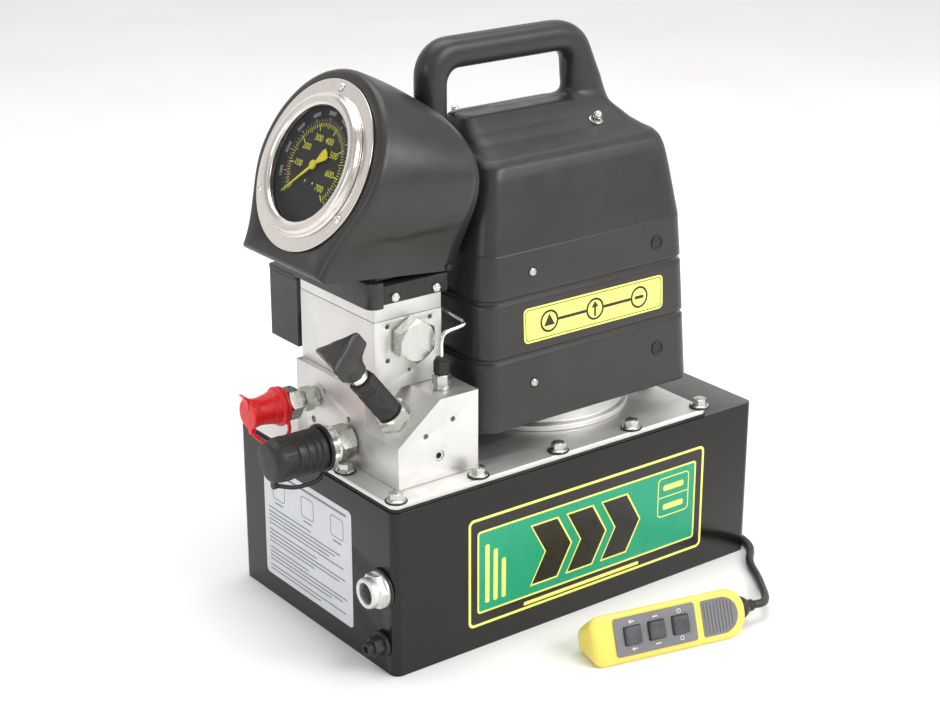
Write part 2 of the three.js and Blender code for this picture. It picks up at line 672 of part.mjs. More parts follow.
const camLift = 3;
const pumpCam = join(
  disc(MOTOR.shaft, 86, 151.5, SMALL_ROUND * 2),
  disc(17, 95, 112, ROUND).translate(camLift, 0, 0),
);
addPart(motorFrame, "pump_cam", pumpCam, steel);
const pumpProfile = [
  [0, 70], [46, 70], [46, 128], [56, 128], [56, 137.6], [22, 137.6], [22, 84], [0, 84],
];
addPart(motorFrame, "pump_body", turned(pumpProfile), castIron);
const strainerProfile = [[0, 14], [20, 14], [20, 56], [9, 58], [9, 69.7], [0, 69.7]];
addPart(motorFrame, "suction_strainer", turned(strainerProfile), steel);

// ---------------------------------------------------------------- motor shroud
// A rounded rectangle at height z, drawn in from the shroud's base outline.
function shroudRing(z, insetX, insetY, wall = 0) {
  const radius = Math.max(4, SHROUD.corner - wall - insetY * 0.1);
  const halfDepth = SHROUD.halfDepth - insetY - wall;
  const corner = Math.min(radius, halfDepth - 0.5);
  const outline = roundedRectangle(
    SHROUD.x0 + insetX + wall, SHROUD.x1 - insetX - wall, -halfDepth, halfDepth, corner,
  );
  return outline.getPoints(4).map((point) => new THREE.Vector3(point.x, point.y, z));
}

function taperAt(z) {
  const above = SHROUD_TAPER.findIndex(([height]) => height >= z);
  const [z1, inset1] = SHROUD_TAPER[above];
  const [z0, inset0] = SHROUD_TAPER[Math.max(0, above - 1)];
  return z1 === z0 ? inset1 : inset0 + ((inset1 - inset0) * (z - z0)) / (z1 - z0);
}

function shroudSkin() {
  const groove = 1.6;
  const rings = [];
  const addTaper = (z, extra = 0) => rings.push([z, taperAt(z) + extra, taperAt(z) + extra]);
  addTaper(SHROUD.bottom);
  for (const z of SHROUD_GROOVES) {
    addTaper(z - 2.4);
    addTaper(z - 0.9, groove);
    addTaper(z + 0.9, groove);
    addTaper(z + 2.4);
  }
  [303, 340, 357, 366].forEach((z) => addTaper(z));
  rings.push([370.5, 22.5, 24], [373, 27, 31], [377.5, 31, 44], [384, 34, 58]);
  rings.push([390, 36, 66], [393, 38, 69], [HANDLE.ridge, 41, 72]);
  return loft(rings.map(([z, insetX, insetY]) => shroudRing(z, insetX, insetY)));
}

function shroudCavity() {
  const heights = [[SHROUD.bottom - 1, SHROUD.bottom], [303, 303], [340, 340], [357, 357]];
  const rings = heights.map(([z, at]) => shroudRing(z, taperAt(at), taperAt(at), SHROUD.wall));
  rings.push(shroudRing(364, 21, 22, SHROUD.wall));
  return loft(rings);
}

// The handle's side view in the XZ plane, with its feet running into the shroud.
function handleBody() {
  const { barTop, barBottom, ridge, thickness } = HANDLE;
  const outline = new THREE.Shape();
  outline.moveTo(-52, 296);
  outline.lineTo(-52, 340);
  outline.lineTo(108, 340);
  outline.lineTo(113.5, 374);
  outline.lineTo(107, 386);
  outline.lineTo(84, 435);
  outline.quadraticCurveTo(74, barTop, 48, barTop);
  outline.absarc(-52, barTop - 28, 28, Math.PI / 2, Math.PI);
  outline.lineTo(-80, 322);
  outline.lineTo(-75, 296);
  const radius = 11;
  const opening = new THREE.Path();
  opening.absarc(-56 + radius, barBottom - radius, radius, Math.PI, Math.PI / 2, true);
  opening.absarc(62 - radius, barBottom - radius, radius, Math.PI / 2, 0, true);
  opening.lineTo(62, ridge + 1);
  opening.lineTo(-56, ridge + 1);
  outline.holes.push(opening);
  const bevel = 8;
  const options = {
    depth: thickness - 2 * bevel,
    bevelThickness: bevel,
    bevelSize: bevel,
    bevelOffset: -bevel,
    bevelSegments: 3,
    curveSegments: 5,
  };
  return new THREE.ExtrudeGeometry(outline, options)
    .translate(0, 0, -thickness / 2 + bevel)
    .rotateX(Math.PI / 2);
}

const shroud = cut(join(shroudSkin(), handleBody()), shroudCavity());
const halfSpace = (y0, y1) => box(-200, 200, y0, y1, 100, 500);
addPart(unit, "shroud_front", common(shroud, halfSpace(-120, -GAP / 2)), moulded);
addPart(unit, "shroud_rear", common(shroud, halfSpace(GAP / 2, 120)), moulded);

// ---------------------------------------------------------------- pendant
// Its frame starts at the face's lower left corner: +X along the face, +Y up it, +Z out of it.
// The pendant stands on its lower side, which leans in by the angle that the face tilts up.
const pendantFrame = addFrame(unit, PENDANT.x, PENDANT.y, 0);
pendantFrame.rotation.set(Math.PI / 2 - degrees(PENDANT.tilt), 0, 0);
const pendantTurn = new THREE.Quaternion().setFromAxisAngle(
  new THREE.Vector3(0, 0, 1), degrees(PENDANT.yaw),
);
pendantFrame.quaternion.premultiply(pendantTurn);
pendantFrame.position.z = 0.05;
const sideDraft = Math.tan(degrees(PENDANT.tilt));

// The housing's outline at a depth below the face: square corners at the left, a round right end.
function pendantRing(depth, inset) {
  const side = depth * sideDraft + inset;
  const { length, height } = PENDANT;
  const shape = new THREE.Shape();
  const square = 7;
  const round = (height / 2 - side) * 0.92;
  shape.absarc(length - inset - round, side + round, round, -Math.PI / 2, 0);
  shape.absarc(length - inset - round, height - side - round, round, 0, Math.PI / 2);
  shape.absarc(inset + square, height - side - square, square, Math.PI / 2, Math.PI);
  shape.absarc(inset + square, side + square, square, Math.PI, Math.PI * 1.5);
  return shape.getPoints(6).map((point) => new THREE.Vector3(point.x, point.y, -depth));
}

const buttonXs = [0, 1, 2].map((i) => BUTTON.firstX + i * BUTTON.pitch);
const buttonWell = (x, margin, z0, z1) => {
  const half = BUTTON.size / 2 + margin;
  return box(x - half, x + half, BUTTON.y - half, BUTTON.y + half, z0, z1);
};
const housing = cut(
  loft([pendantRing(28, 2), pendantRing(26.5, 0.3), pendantRing(3, 0), pendantRing(0.9, 0.6),
    pendantRing(0, 2.4)]),
  ...buttonXs.map((x) => buttonWell(x, 0.4, -6, 1)),
);
addPart(pendantFrame, "pendant_housing", housing, pendantYellow);
addPart(
  pendantFrame, "pendant_panel",
  cut(
    prism(roundedRectangle(PANEL.x0, PANEL.x1, PANEL.y0, PANEL.y1, 2.5), GAP, 1.3),
    ...buttonXs.map((x) => buttonWell(x, 0.4, -1, 3)),
  ),
  panelGrey,
);
buttonXs.forEach((x, i) => {
  const half = BUTTON.size / 2;
  const key = (inset, z) =>
    roundedRectangle(
      x - half + inset, x + half - inset, BUTTON.y - half + inset, BUTTON.y + half - inset, 2,
    ).getPoints(3).map((point) => new THREE.Vector3(point.x, point.y, z));
  const cap = loft([key(0, -2), key(0, 3.4), key(0.4, 4.1), key(1.4, 4.5)]);
  addPart(pendantFrame, `pendant_button_${i + 1}`, cap, buttonGrey);
});

const bootFrame = new THREE.Group();
bootFrame.position.set(PENDANT.length + GAP, PENDANT.height / 2, -PENDANT.depth / 2);
bootFrame.rotation.y = Math.PI / 2;
pendantFrame.add(bootFrame);
const bootProfile = [[0, 0], [9.5, 0], [9.2, 3], [7.2, 6.5], [5, 8.6], [4.6, 13.5], [0, 13.5]];
addPart(bootFrame, "pendant_boot", turned(bootProfile, 20), rubber);

// ---------------------------------------------------------------- pendant cord
// From the gland it hangs onto the coil that lies behind the tank, and from there it comes round
// the tank's right end to the pendant.
const coilHeight = CORD.layers * CORD.pitch;
const coilHalfWidth = (CORD.columns * CORD.pitch) / 2;
const cordZ = CORD.radius + 0.2;
const hangY = 138.6;
const dropRoute = [
  [-96, 111.4, 240], [-96, 119, 239.6], [-96, 128, 236.4], [-96, 134.6, 229], [-96, 137.6, 218],
  [-96, hangY, 200], [-96, hangY, 160], [-96, hangY, 115], [-96, hangY, 70],
  [-96, hangY, coilHeight + 0.5],
];
const leadRoute = [
  [-50.8, 210.4, cordZ], [-30, 210, cordZ], [0, 206, cordZ], [40, 196, cordZ], [80, 182, cordZ],
  [120, 164, cordZ], [152, 147, cordZ], [176, 128, cordZ], [190, 106, cordZ], [196, 84, cordZ],
  [195, 40, cordZ], [192.5, -10, cordZ], [190.8, -55, cordZ], [190.4, -85, cordZ],
  [188.4, -102, cordZ], [183.6, -113.6, cordZ], [176.4, -122, cordZ], [168, -129.6, cordZ],
  [160.8, -138.4, cordZ], [151.6, -154.2, cordZ], [143.9, -166, 4.3], [138, -173.6, 5.6],
  [130.6, -183, 7.6], [122.4, -193, 10], [114, -201.6, 12.4], [105, -207.2, 14.3],
  [96.5, -205.7, 14.6],
];
addPart(unit, "cord_drop", tube(dropRoute, CORD.radius, CORD.sides, 20), rubber);
addPart(unit, "cord_lead", tube(leadRoute, CORD.radius, CORD.sides, 48), rubber);
const coilRing = ring(
  COIL.meanRadius - coilHalfWidth, COIL.meanRadius + coilHalfWidth, 0.1, coilHeight + 0.1, 32,
);
addPart(unit, "cord_coil", coilRing.translate(COIL.x, COIL.y, 0), rubber);

export default unit;
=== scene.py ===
"""Looks of a portable hydraulic power unit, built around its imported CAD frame.

Shapes are worked out in millimetres in the row frame (+Z up, origin at the centre of the tank's
underside) and turned into metres when a piece is made.
"""
import json
import math

import bmesh
import bpy
import numpy as np
from mathutils import Matrix, Vector
from mathutils.bvhtree import BVHTree

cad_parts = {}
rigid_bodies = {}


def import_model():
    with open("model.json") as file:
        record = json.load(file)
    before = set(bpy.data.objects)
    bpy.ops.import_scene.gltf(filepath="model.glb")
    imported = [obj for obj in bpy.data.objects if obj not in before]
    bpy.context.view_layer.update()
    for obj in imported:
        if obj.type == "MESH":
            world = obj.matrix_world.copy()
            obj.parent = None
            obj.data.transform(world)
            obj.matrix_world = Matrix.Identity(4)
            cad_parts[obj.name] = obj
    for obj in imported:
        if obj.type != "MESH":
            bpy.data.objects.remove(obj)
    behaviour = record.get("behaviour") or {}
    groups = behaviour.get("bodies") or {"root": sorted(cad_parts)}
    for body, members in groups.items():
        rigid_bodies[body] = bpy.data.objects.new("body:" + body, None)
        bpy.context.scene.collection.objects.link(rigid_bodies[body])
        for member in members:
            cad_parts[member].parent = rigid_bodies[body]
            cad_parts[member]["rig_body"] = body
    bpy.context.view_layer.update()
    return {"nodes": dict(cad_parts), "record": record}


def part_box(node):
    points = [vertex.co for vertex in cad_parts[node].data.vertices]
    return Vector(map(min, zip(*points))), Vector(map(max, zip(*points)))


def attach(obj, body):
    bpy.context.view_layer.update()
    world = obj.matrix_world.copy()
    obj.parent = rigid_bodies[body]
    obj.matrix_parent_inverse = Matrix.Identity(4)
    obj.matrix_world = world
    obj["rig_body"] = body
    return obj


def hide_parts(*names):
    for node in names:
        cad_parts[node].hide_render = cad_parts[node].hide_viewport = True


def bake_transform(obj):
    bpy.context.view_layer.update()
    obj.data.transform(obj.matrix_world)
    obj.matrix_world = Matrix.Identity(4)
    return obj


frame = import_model()

MM = 0.001
UNIT = "unit"
NODES = frame["nodes"]
SLOT_OF = {row["node"]: row["material_slot"] for row in frame["record"]["subparts"]}


# ---------------------------------------------------------------- frames
def place(origin, x_axis=(1, 0, 0), y_axis=(0, 1, 0)):
    """The frame at an origin whose X and Y axes point as given."""
    x, y = Vector(x_axis).normalized(), Vector(y_axis).normalized()
    matrix = Matrix((x, y, x.cross(y))).transposed().to_4x4()
    matrix.translation = Vector(origin)
    return matrix


def on_left(x, y, z):
    """A frame on a face that looks to -X."""
    return place((x, y, z), (0, 0, 1))


def on_front(x, y, z):
    """A frame on a face that looks to -Y, with its own Y up the face."""
    return place((x, y, z), (1, 0, 0), (0, 0, 1))


def corner(node, side):
    """A CAD node's lowest (0) or highest (1) corner, in millimetres."""
    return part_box(node)[side] / MM


TANK_LOW = corner("tank", 0)
PLATE_TOP = corner("cover_plate", 1).z
BLOCK_LOW, BLOCK_HIGH = corner("manifold_block", 0), corner("manifold_block", 1)
COLUMN_FRONT = corner("valve_column", 0).y

GAUGE_TILT = math.radians(26.5)
GAUGE_UP = (math.sin(GAUGE_TILT), 0, math.cos(GAUGE_TILT))
GAUGE = place((-172.8, 0, 375), (0, -1, 0), GAUGE_UP)
RELIEF_SLOPE = math.atan2(30.3, 38.5)
RELIEF_AXIS = Vector((-math.sin(RELIEF_SLOPE), 0, math.cos(RELIEF_SLOPE)))
RELIEF = place((-148, -64, 188.7), (math.cos(RELIEF_SLOPE), 0, math.sin(RELIEF_SLOPE)))
PRESSURE = on_left(BLOCK_LOW.x, -25, 163)
RETURN = on_left(BLOCK_LOW.x, 23, 183)
SIGHT_GLASS = on_left(TANK_LOW.x, -93, 70)
DRAIN = on_left(TANK_LOW.x, -93, 23)
COLUMN_PLUG = on_front(-126.5, COLUMN_FRONT, 245.5)
PILOT_FITTING = place((-110.5, -70.6, BLOCK_HIGH.z))
MOTOR = place((36, 0, 0))

PENDANT_YAW, PENDANT_TILT = math.radians(-12.8), math.radians(21)
PENDANT_ALONG = Vector((math.cos(PENDANT_YAW), math.sin(PENDANT_YAW), 0))
PENDANT_UP = (
    Vector((-math.sin(PENDANT_YAW), math.cos(PENDANT_YAW), 0)) * math.sin(PENDANT_TILT)
    + Vector((0, 0, math.cos(PENDANT_TILT)))
)
PENDANT = place((-54.9, -192.4, 0.05), PENDANT_ALONG, PENDANT_UP)


def linked(name, data):
    """A new object, put in the scene."""
    made = bpy.data.objects.new(name, data)
    bpy.context.scene.collection.objects.link(made)
    return made


def baked(made):
    """A new mesh of an object as its modifiers leave it."""
    graph = bpy.context.evaluated_depsgraph_get()
    return bpy.data.meshes.new_from_object(made.evaluated_get(graph))


# ---------------------------------------------------------------- camera
def add_camera():
    """The photograph's view: from the front left, a little above the handle."""
    right = Vector((0.798, -0.602, 0)).normalized()
    down = math.radians(20.84)
    level = Vector((-right.y, right.x, 0))
    forward = level * math.cos(down) - Vector((0, 0, math.sin(down)))
    camera = linked("camera", bpy.data.cameras.new("camera"))
    camera.data.lens = 76.5
    camera.data.sensor_width = 36
    camera.data.clip_end = 100
    camera.matrix_world = place((-0.9347, -1.1987, 0.7673), right, right.cross(forward))
    bpy.context.scene.camera = camera


add_camera()


# ---------------------------------------------------------------- material nodes
def new_material(name, metallic=0.0, sockets=None):
    """A Principled material with its constant sockets set."""
    material = bpy.data.materials.new(name)
    material.use_nodes = True
    shader = material.node_tree.nodes["Principled BSDF"]
    shader.inputs["Metallic"].default_value = metallic
    for socket, value in (sockets or {}).items():
        shader.inputs[socket].default_value = value
    return material, material.node_tree, shader


def noise(tree, scale, detail, stretch=(1, 1, 1)):
    """Fractal noise over the object's own coordinates, with `scale` grains to the metre."""
    coordinates = tree.nodes.new("ShaderNodeTexCoord")
    mapping = tree.nodes.new("ShaderNodeMapping")
    mapping.inputs["Scale"].default_value = stretch
    texture = tree.nodes.new("ShaderNodeTexNoise")
    texture.inputs["Scale"].default_value = scale
    texture.inputs["Detail"].default_value = detail
    tree.links.new(coordinates.outputs["Object"], mapping.inputs["Vector"])
    tree.links.new(mapping.outputs["Vector"], texture.inputs["Vector"])
    return texture.outputs["Fac"]


def cells(tree, scale):
    """Distance to the nearest cell centre, for pebbled and speckled surfaces."""
    coordinates = tree.nodes.new("ShaderNodeTexCoord")
    texture = tree.nodes.new("ShaderNodeTexVoronoi")
    texture.inputs["Scale"].default_value = scale
    tree.links.new(coordinates.outputs["Object"], texture.inputs["Vector"])
    return texture.outputs["Distance"]


# The middle part of a factor's range, over which colour and roughness change.
TINT_SPAN = (0.32, 0.68)
ROUGHNESS_SPAN = (0.3, 0.7)


def tint(tree, shader, factor, dark, light):
    """Base colour that runs from dark to light with a factor."""
    ramp = tree.nodes.new("ShaderNodeValToRGB")
    for element, position, colour in zip(ramp.color_ramp.elements, TINT_SPAN, (dark, light)):
        element.position = position
        element.color = (*colour, 1)
    tree.links.new(factor, ramp.inputs["Fac"])
    tree.links.new(ramp.outputs["Color"], shader.inputs["Base Color"])


def vary_roughness(tree, shader, factor, low, high):
    span = tree.nodes.new("ShaderNodeMapRange")
    ends = (*ROUGHNESS_SPAN, low, high)
    for socket, value in zip(("From Min", "From Max", "To Min", "To Max"), ends):
        span.inputs[socket].default_value = value
    tree.links.new(factor, span.inputs["Value"])
    tree.links.new(span.outputs["Result"], shader.inputs["Roughness"])


def emboss(tree, shader, factor, strength, depth):
    """Relief of a real depth in millimetres, on top of any that the shader already has."""
    bump = tree.nodes.new("ShaderNodeBump")
    bump.inputs["Strength"].default_value = strength
    bump.inputs["Distance"].default_value = depth * MM
    below = shader.inputs["Normal"].links
    if below:
        tree.links.new(below[0].from_socket, bump.inputs["Normal"])
    tree.links.new(factor, bump.inputs["Height"])
    tree.links.new(bump.outputs["Normal"], shader.inputs["Normal"])


def shades(colour, spread):
    """A darker and a lighter shade of a colour."""
    return [c * (1 - spread) for c in colour], [min(1, c * (1 + spread)) for c in colour]


# ---------------------------------------------------------------- materials
def moulded_plastic(name, colour, roughness=0.4, grain=1400, depth=0.05, spread=0.12):
    """Satin moulded plastic: a pebbled skin, soft blotches and faint handling marks."""
    material, tree, shader = new_material(name, sockets={"Specular IOR Level": 0.45})
    tint(tree, shader, noise(tree, 22, 5), *shades(colour, spread))
    vary_roughness(tree, shader, noise(tree, 60, 6), roughness - 0.06, roughness + 0.07)
    emboss(tree, shader, cells(tree, grain), 0.25, depth)
    emboss(tree, shader, noise(tree, 260, 3), 0.15, 0.06)
    return material


def enamel(name, colour):
    """Glossy stove enamel with a slight orange peel."""
    sockets = {"Specular IOR Level": 0.32, "Coat Weight": 0.08, "Coat Roughness": 0.06}
    material, tree, shader = new_material(name, sockets=sockets)
    tint(tree, shader, noise(tree, 9, 4), *shades(colour, 0.15))
    vary_roughness(tree, shader, noise(tree, 45, 5), 0.14, 0.22)
    emboss(tree, shader, noise(tree, 240, 2), 0.12, 0.08)
    return material


def machined_metal(name, colour, roughness, stretch):
    """Milled or brushed metal: fine streaks along one axis under broad cloudy stains."""
    material, tree, shader = new_material(name, metallic=1.0)
    streaks = noise(tree, 900, 3, stretch)
    tint(tree, shader, noise(tree, 30, 6), *shades(colour, 0.05))
    vary_roughness(tree, shader, streaks, roughness - 0.06, roughness + 0.08)
    emboss(tree, shader, streaks, 0.2, 0.02)
    return material


def plated_metal(name, colour, roughness):
    """Zinc or nickel plate: mottled, with shallow dimples."""
    material, tree, shader = new_material(name, metallic=1.0)
    tint(tree, shader, noise(tree, 140, 6), *shades(colour, 0.03))
    vary_roughness(tree, shader, noise(tree, 320, 4), roughness - 0.04, roughness + 0.06)
    emboss(tree, shader, noise(tree, 250, 2), 0.03, 0.01)
    return material


def soft_rubber(name, colour, roughness=0.6):
    material, tree, shader = new_material(name, sockets={"Specular IOR Level": 0.4})
    tint(tree, shader, noise(tree, 90, 6), *shades(colour, 0.25))
    vary_roughness(tree, shader, noise(tree, 200, 5), roughness - 0.1, roughness + 0.1)
    emboss(tree, shader, noise(tree, 1500, 4), 0.3, 0.04)
    return material


def clear_glass(name):
    """Thin clear glass, with faint smears that dull its gloss."""
    material, tree, shader = new_material(name, sockets={"Alpha": 0.1, "IOR": 1.5})
    tint(tree, shader, noise(tree, 60, 5), (0.02, 0.022, 0.024), (0.05, 0.052, 0.055))
    vary_roughness(tree, shader, noise(tree, 35, 6), 0.02, 0.09)
    return material


def printed_film(name, colour, roughness):
    """Printed label film: even colour with a fine screen and slight waviness."""
    material, tree, shader = new_material(name)
    tint(tree, shader, noise(tree, 70, 6), *shades(colour, 0.04))
    vary_roughness(tree, shader, noise(tree, 150, 4), roughness - 0.05, roughness + 0.08)
    emboss(tree, shader, noise(tree, 90, 2), 0.04, 0.02)
    return material


def cast_metal(name, colour, metallic):
    material, tree, shader = new_material(name, metallic=metallic)
    tint(tree, shader, noise(tree, 160, 8), *shades(colour, 0.2))
    vary_roughness(tree, shader, noise(tree, 220, 5), 0.5, 0.7)
    emboss(tree, shader, cells(tree, 600), 0.5, 0.15)
    return material


BRUSHED_X = (0.05, 1, 1)
MATERIALS = {
    "tank_paint": enamel("tank_enamel", (0.009, 0.0078, 0.007)),
    "gasket": soft_rubber("gasket_rubber", (0.02, 0.019, 0.018)),
    "aluminium": machined_metal("milled_aluminium", (0.74, 0.73, 0.71), 0.5, BRUSHED_X),
    "clear_glass": clear_glass("clear_glass"),
    "black_steel": cast_metal("blackened_steel", (0.035, 0.033, 0.031), 0.4),
    "zinc": plated_metal("zinc_plate", (0.56, 0.57, 0.53), 0.27),
    "steel": plated_metal("bright_steel", (0.74, 0.73, 0.71), 0.2),
    "gauge_steel": plated_metal("gauge_stainless", (0.74, 0.7, 0.66), 0.17),
    "dial": printed_film("dial_black", (0.014, 0.0145, 0.017), 0.6),
    "pointer": printed_film("pointer_yellow", (0.8, 0.72, 0.01), 0.4),
    "moulded_black": moulded_plastic("moulded_black", (0.026, 0.0245, 0.0225), 0.36),
    "black_rubber": soft_rubber("black_rubber", (0.018, 0.017, 0.016), 0.45),
    "cord_jacket": soft_rubber("cord_jacket", (0.032, 0.031, 0.031), 0.5),
    "red_plastic": moulded_plastic("red_plastic", (0.72, 0.01, 0.012), 0.34, 900, 0.02, 0.08),
    "cast_iron": cast_metal("cast_iron", (0.16, 0.15, 0.14), 0.6),
    "copper": machined_metal("wound_copper", (0.55, 0.26, 0.12), 0.4, (1, 1, 6)),
    "grey_plastic": moulded_plastic("panel_grey", (0.19, 0.19, 0.2), 0.45, 1600, 0.02, 0.06),
    "pendant_yellow": moulded_plastic(
        "pendant_yellow", (0.88, 0.69, 0.13), 0.42, 1500, 0.03, 0.04,
    ),
    "button_rubber": soft_rubber("button_rubber", (0.075, 0.077, 0.082)),
}
DECAL_GREEN = printed_film("decal_green", (0.006, 0.33, 0.175), 0.3)
DECAL_YELLOW = printed_film("decal_yellow", (0.93, 0.9, 0.2), 0.3)
DECAL_BLACK = printed_film("decal_black", (0.012, 0.011, 0.01), 0.28)
LABEL_GREY = printed_film("label_grey", (0.62, 0.64, 0.67), 0.4)
PRINT_GREY = printed_film("print_grey", (0.2, 0.21, 0.22), 0.5)
PRINT_WHITE = printed_film("print_white", (0.62, 0.62, 0.6), 0.5)
PRINT_YELLOW = printed_film("print_yellow", (0.85, 0.82, 0.03), 0.5)


# ---------------------------------------------------------------- shapes
# A shape is (points, faces), in millimetres.
def joined(*shapes):
    points, faces = [], []
    for some_points, some_faces in shapes:
        start = len(points)
        points += some_points
        faces += [[start + index for index in face] for face in some_faces]
    return points, faces


def around(count):
    """Evenly spaced angles round a full turn."""
    return [2 * math.pi * i / count for i in range(count)]


def shifted(shape, matrix):
    return [matrix @ Vector(point) for point in shape[0]], shape[1]


def softened(points, radius, steps, closed):
    """An outline with its corners rounded off, each by no more than its sides allow."""
    points = [Vector(point) for point in points]
    soft = []
    for i, vertex in enumerate(points):
        if not closed and i in (0, len(points) - 1):
            soft.append(vertex)
            continue
        before, after = points[i - 1] - vertex, points[(i + 1) % len(points)] - vertex
        reach = min(radius, before.length * 0.45, after.length * 0.45)
        start = vertex + before.normalized() * reach
        end = vertex + after.normalized() * reach
        for step in range(steps + 1):
            t = step / steps
            soft.append(start.lerp(vertex, t).lerp(vertex.lerp(end, t), t))
    return soft


def turned(profile, radius=0.5, segments=72):
    """A solid of revolution about Z, with corners rounded to a radius.

    The profile lists (radius, height) from the axis back to the axis, or round a closed outline.
    """
    closed = profile[0] == profile[-1]
    outline = softened(profile[:-1] if closed else profile, radius, 3, closed)
    points, rows = [], []
    for reach, height in outline:
        if reach < 1e-6:
            rows.append([len(points)])
            points.append(Vector((0, 0, height)))
            continue
        rows.append(list(range(len(points), len(points) + segments)))
        for angle in around(segments):
            points.append(Vector((reach * math.cos(angle), reach * math.sin(angle), height)))
    if closed:
        rows.append(rows[0])
    faces = []
    for low, high in zip(rows, rows[1:]):
        for i in range(segments):
            j = (i + 1) % segments
            ring = [low[i % len(low)], low[j % len(low)], high[j % len(high)], high[i % len(high)]]
            face = list(dict.fromkeys(ring))
            if len(face) > 2:
                faces.append(face)
    return points, faces


def disc(radius, low, high, rim=0.4, segments=72):
    return turned([(0, low), (radius, low), (radius, high), (0, high)], rim, segments)


def loft(rings, capped=True):
    """A skin through rings that hold the same number of points."""
    count = len(rings[0])
    points = [Vector(point) for ring in rings for point in ring]
    faces = []
    for level in range(len(rings) - 1):
        for i in range(count):
            j = (i + 1) % count
            low, high = level * count, (level + 1) * count
            faces.append([low + i, low + j, high + j, high + i])
    if capped:
        faces.append(list(range(count))[::-1])
        faces.append([(len(rings) - 1) * count + i for i in range(count)])
    return points, faces


def slab(outline, low, high):
    """A flat outline raised from low to high."""
    return loft([[(x, y, z) for x, y in outline] for z in (low, high)])


def tile(x0, x1, y0, y1, radius, low, high):
    """A rectangle with round corners, raised from low to high."""
    return slab(rounded(x0, x1, y0, y1, radius), low, high)


def band(outer, inner, low, high):
    """A flat frame between two outlines that hold the same number of points."""
    rings = [(outer, low), (outer, high), (inner, high), (inner, low), (outer, low)]
    return loft([[(x, y, z) for x, y in outline] for outline, z in rings], capped=False)


def rounded(x0, x1, y0, y1, radius, steps=6):
    """A rectangle's outline with round corners, anticlockwise."""
    outline = []
    centres = [(x1 - radius, y0 + radius), (x1 - radius, y1 - radius)]
    centres += [(x0 + radius, y1 - radius), (x0 + radius, y0 + radius)]
    for quarter, (x, y) in enumerate(centres):
        for step in range(steps + 1):
            angle = math.pi / 2 * (quarter - 1 + step / steps)
            outline.append((x + radius * math.cos(angle), y + radius * math.sin(angle)))
    return outline


# Degrees. A nut's chamfer has to be steeper than the smoothing limit, or it shades as a crease.
SMOOTH_LIMIT = 32
NUT_CHAMFER = 34


def hex_bar(across, low, high, turn=90, lower_chamfer=False):
    """A hexagonal bar whose corners are turned off in a cone, as on a nut."""
    samples = 72
    flat = across / 2
    round_edge = flat * 0.96
    slope = math.tan(math.radians(NUT_CHAMFER))
    start = math.radians(turn + 30)

    def ring(height, chamfer):
        points = []
        for angle in around(samples):
            off_flat = (angle + math.pi / 6) % (math.pi / 3) - math.pi / 6
            reach = flat / math.cos(off_flat)
            at = start + angle
            drop = chamfer * max(0, reach - round_edge) * slope
            points.append((reach * math.cos(at), reach * math.sin(at), height - drop))
        return points

    def circle(height):
        angles = [start + angle for angle in around(samples)]
        return [(round_edge * math.cos(a), round_edge * math.sin(a), height) for a in angles]

    below = [circle(low), ring(low, -1)] if lower_chamfer else [ring(low, 0)]
    return loft([*below, ring(high, 1), circle(high)])


def smooth_path(points, steps):
    """Points along a Catmull-Rom curve through the given ones."""
    points = [Vector(point) for point in points]
    ends = [points[0] * 2 - points[1], *points, points[-1] * 2 - points[-2]]
    path = []
    for a, b, c, d in zip(ends, ends[1:], ends[2:], ends[3:]):
        for step in range(steps):
            t = step / steps
            path.append(
                0.5 * (2 * b + (c - a) * t + (2 * a - 5 * b + 4 * c - d) * t**2
                       + (3 * b - a - 3 * c + d) * t**3)
            )
    path.append(points[-1])
    return path


def swept(points, radius, steps=6, segments=18):
    """A round bar along a smooth path, slightly narrower at its two ends."""
    path = smooth_path(points, steps)
    side = (path[1] - path[0]).orthogonal().normalized()
    rings = []
    for i, centre in enumerate(path):
        ahead = path[min(i + 1, len(path) - 1)] - path[max(i - 1, 0)]
        side = (side - side.project(ahead)).normalized()
        other = ahead.normalized().cross(side)
        reach = radius * (0.8 if i in (0, len(path) - 1) else 1)
        rings.append([
            centre + (side * math.cos(a) + other * math.sin(a)) * reach for a in around(segments)
        ])
    return loft(rings)


LETTER_THICKNESS = 0.06


def lettering(text, size, matrix):
    """Raised figures, centred on a frame's origin."""
    curve = bpy.data.curves.new("lettering", "FONT")
    curve.body = text
    curve.size = size
    curve.align_x = "CENTER"
    curve.align_y = "CENTER"
    curve.extrude = LETTER_THICKNESS / 2
    holder = linked("lettering", curve)
    mesh = baked(holder)
    shape = [v.co.copy() for v in mesh.vertices], [list(face.vertices) for face in mesh.polygons]
    bpy.data.objects.remove(holder)
    bpy.data.curves.remove(curve)
    bpy.data.meshes.remove(mesh)
    return shifted(shape, matrix)


# ---------------------------------------------------------------- pieces
def shade(mesh, limit=SMOOTH_LIMIT, outward=True):
    """Smooth shading, with a hard edge where two faces meet at more than `limit` degrees."""
    work = bmesh.new()
    work.from_mesh(mesh)
    if outward:
        bmesh.ops.recalc_face_normals(work, faces=work.faces)
    for face in work.faces:
        face.smooth = True
    for edge in work.edges:
        edge.smooth = edge.calc_face_angle(0) < math.radians(limit)
    work.to_mesh(mesh)
    work.free()


def new_object(name, shape, matrix=Matrix(), limit=SMOOTH_LIMIT, outward=True):
    mesh = bpy.data.meshes.new(name)
    points, faces = shifted(shape, matrix)
    mesh.from_pydata([point * MM for point in points], [], faces)
    mesh.validate()
    shade(mesh, limit, outward)
    return linked(name, mesh)


MOULDED_WALL = 3


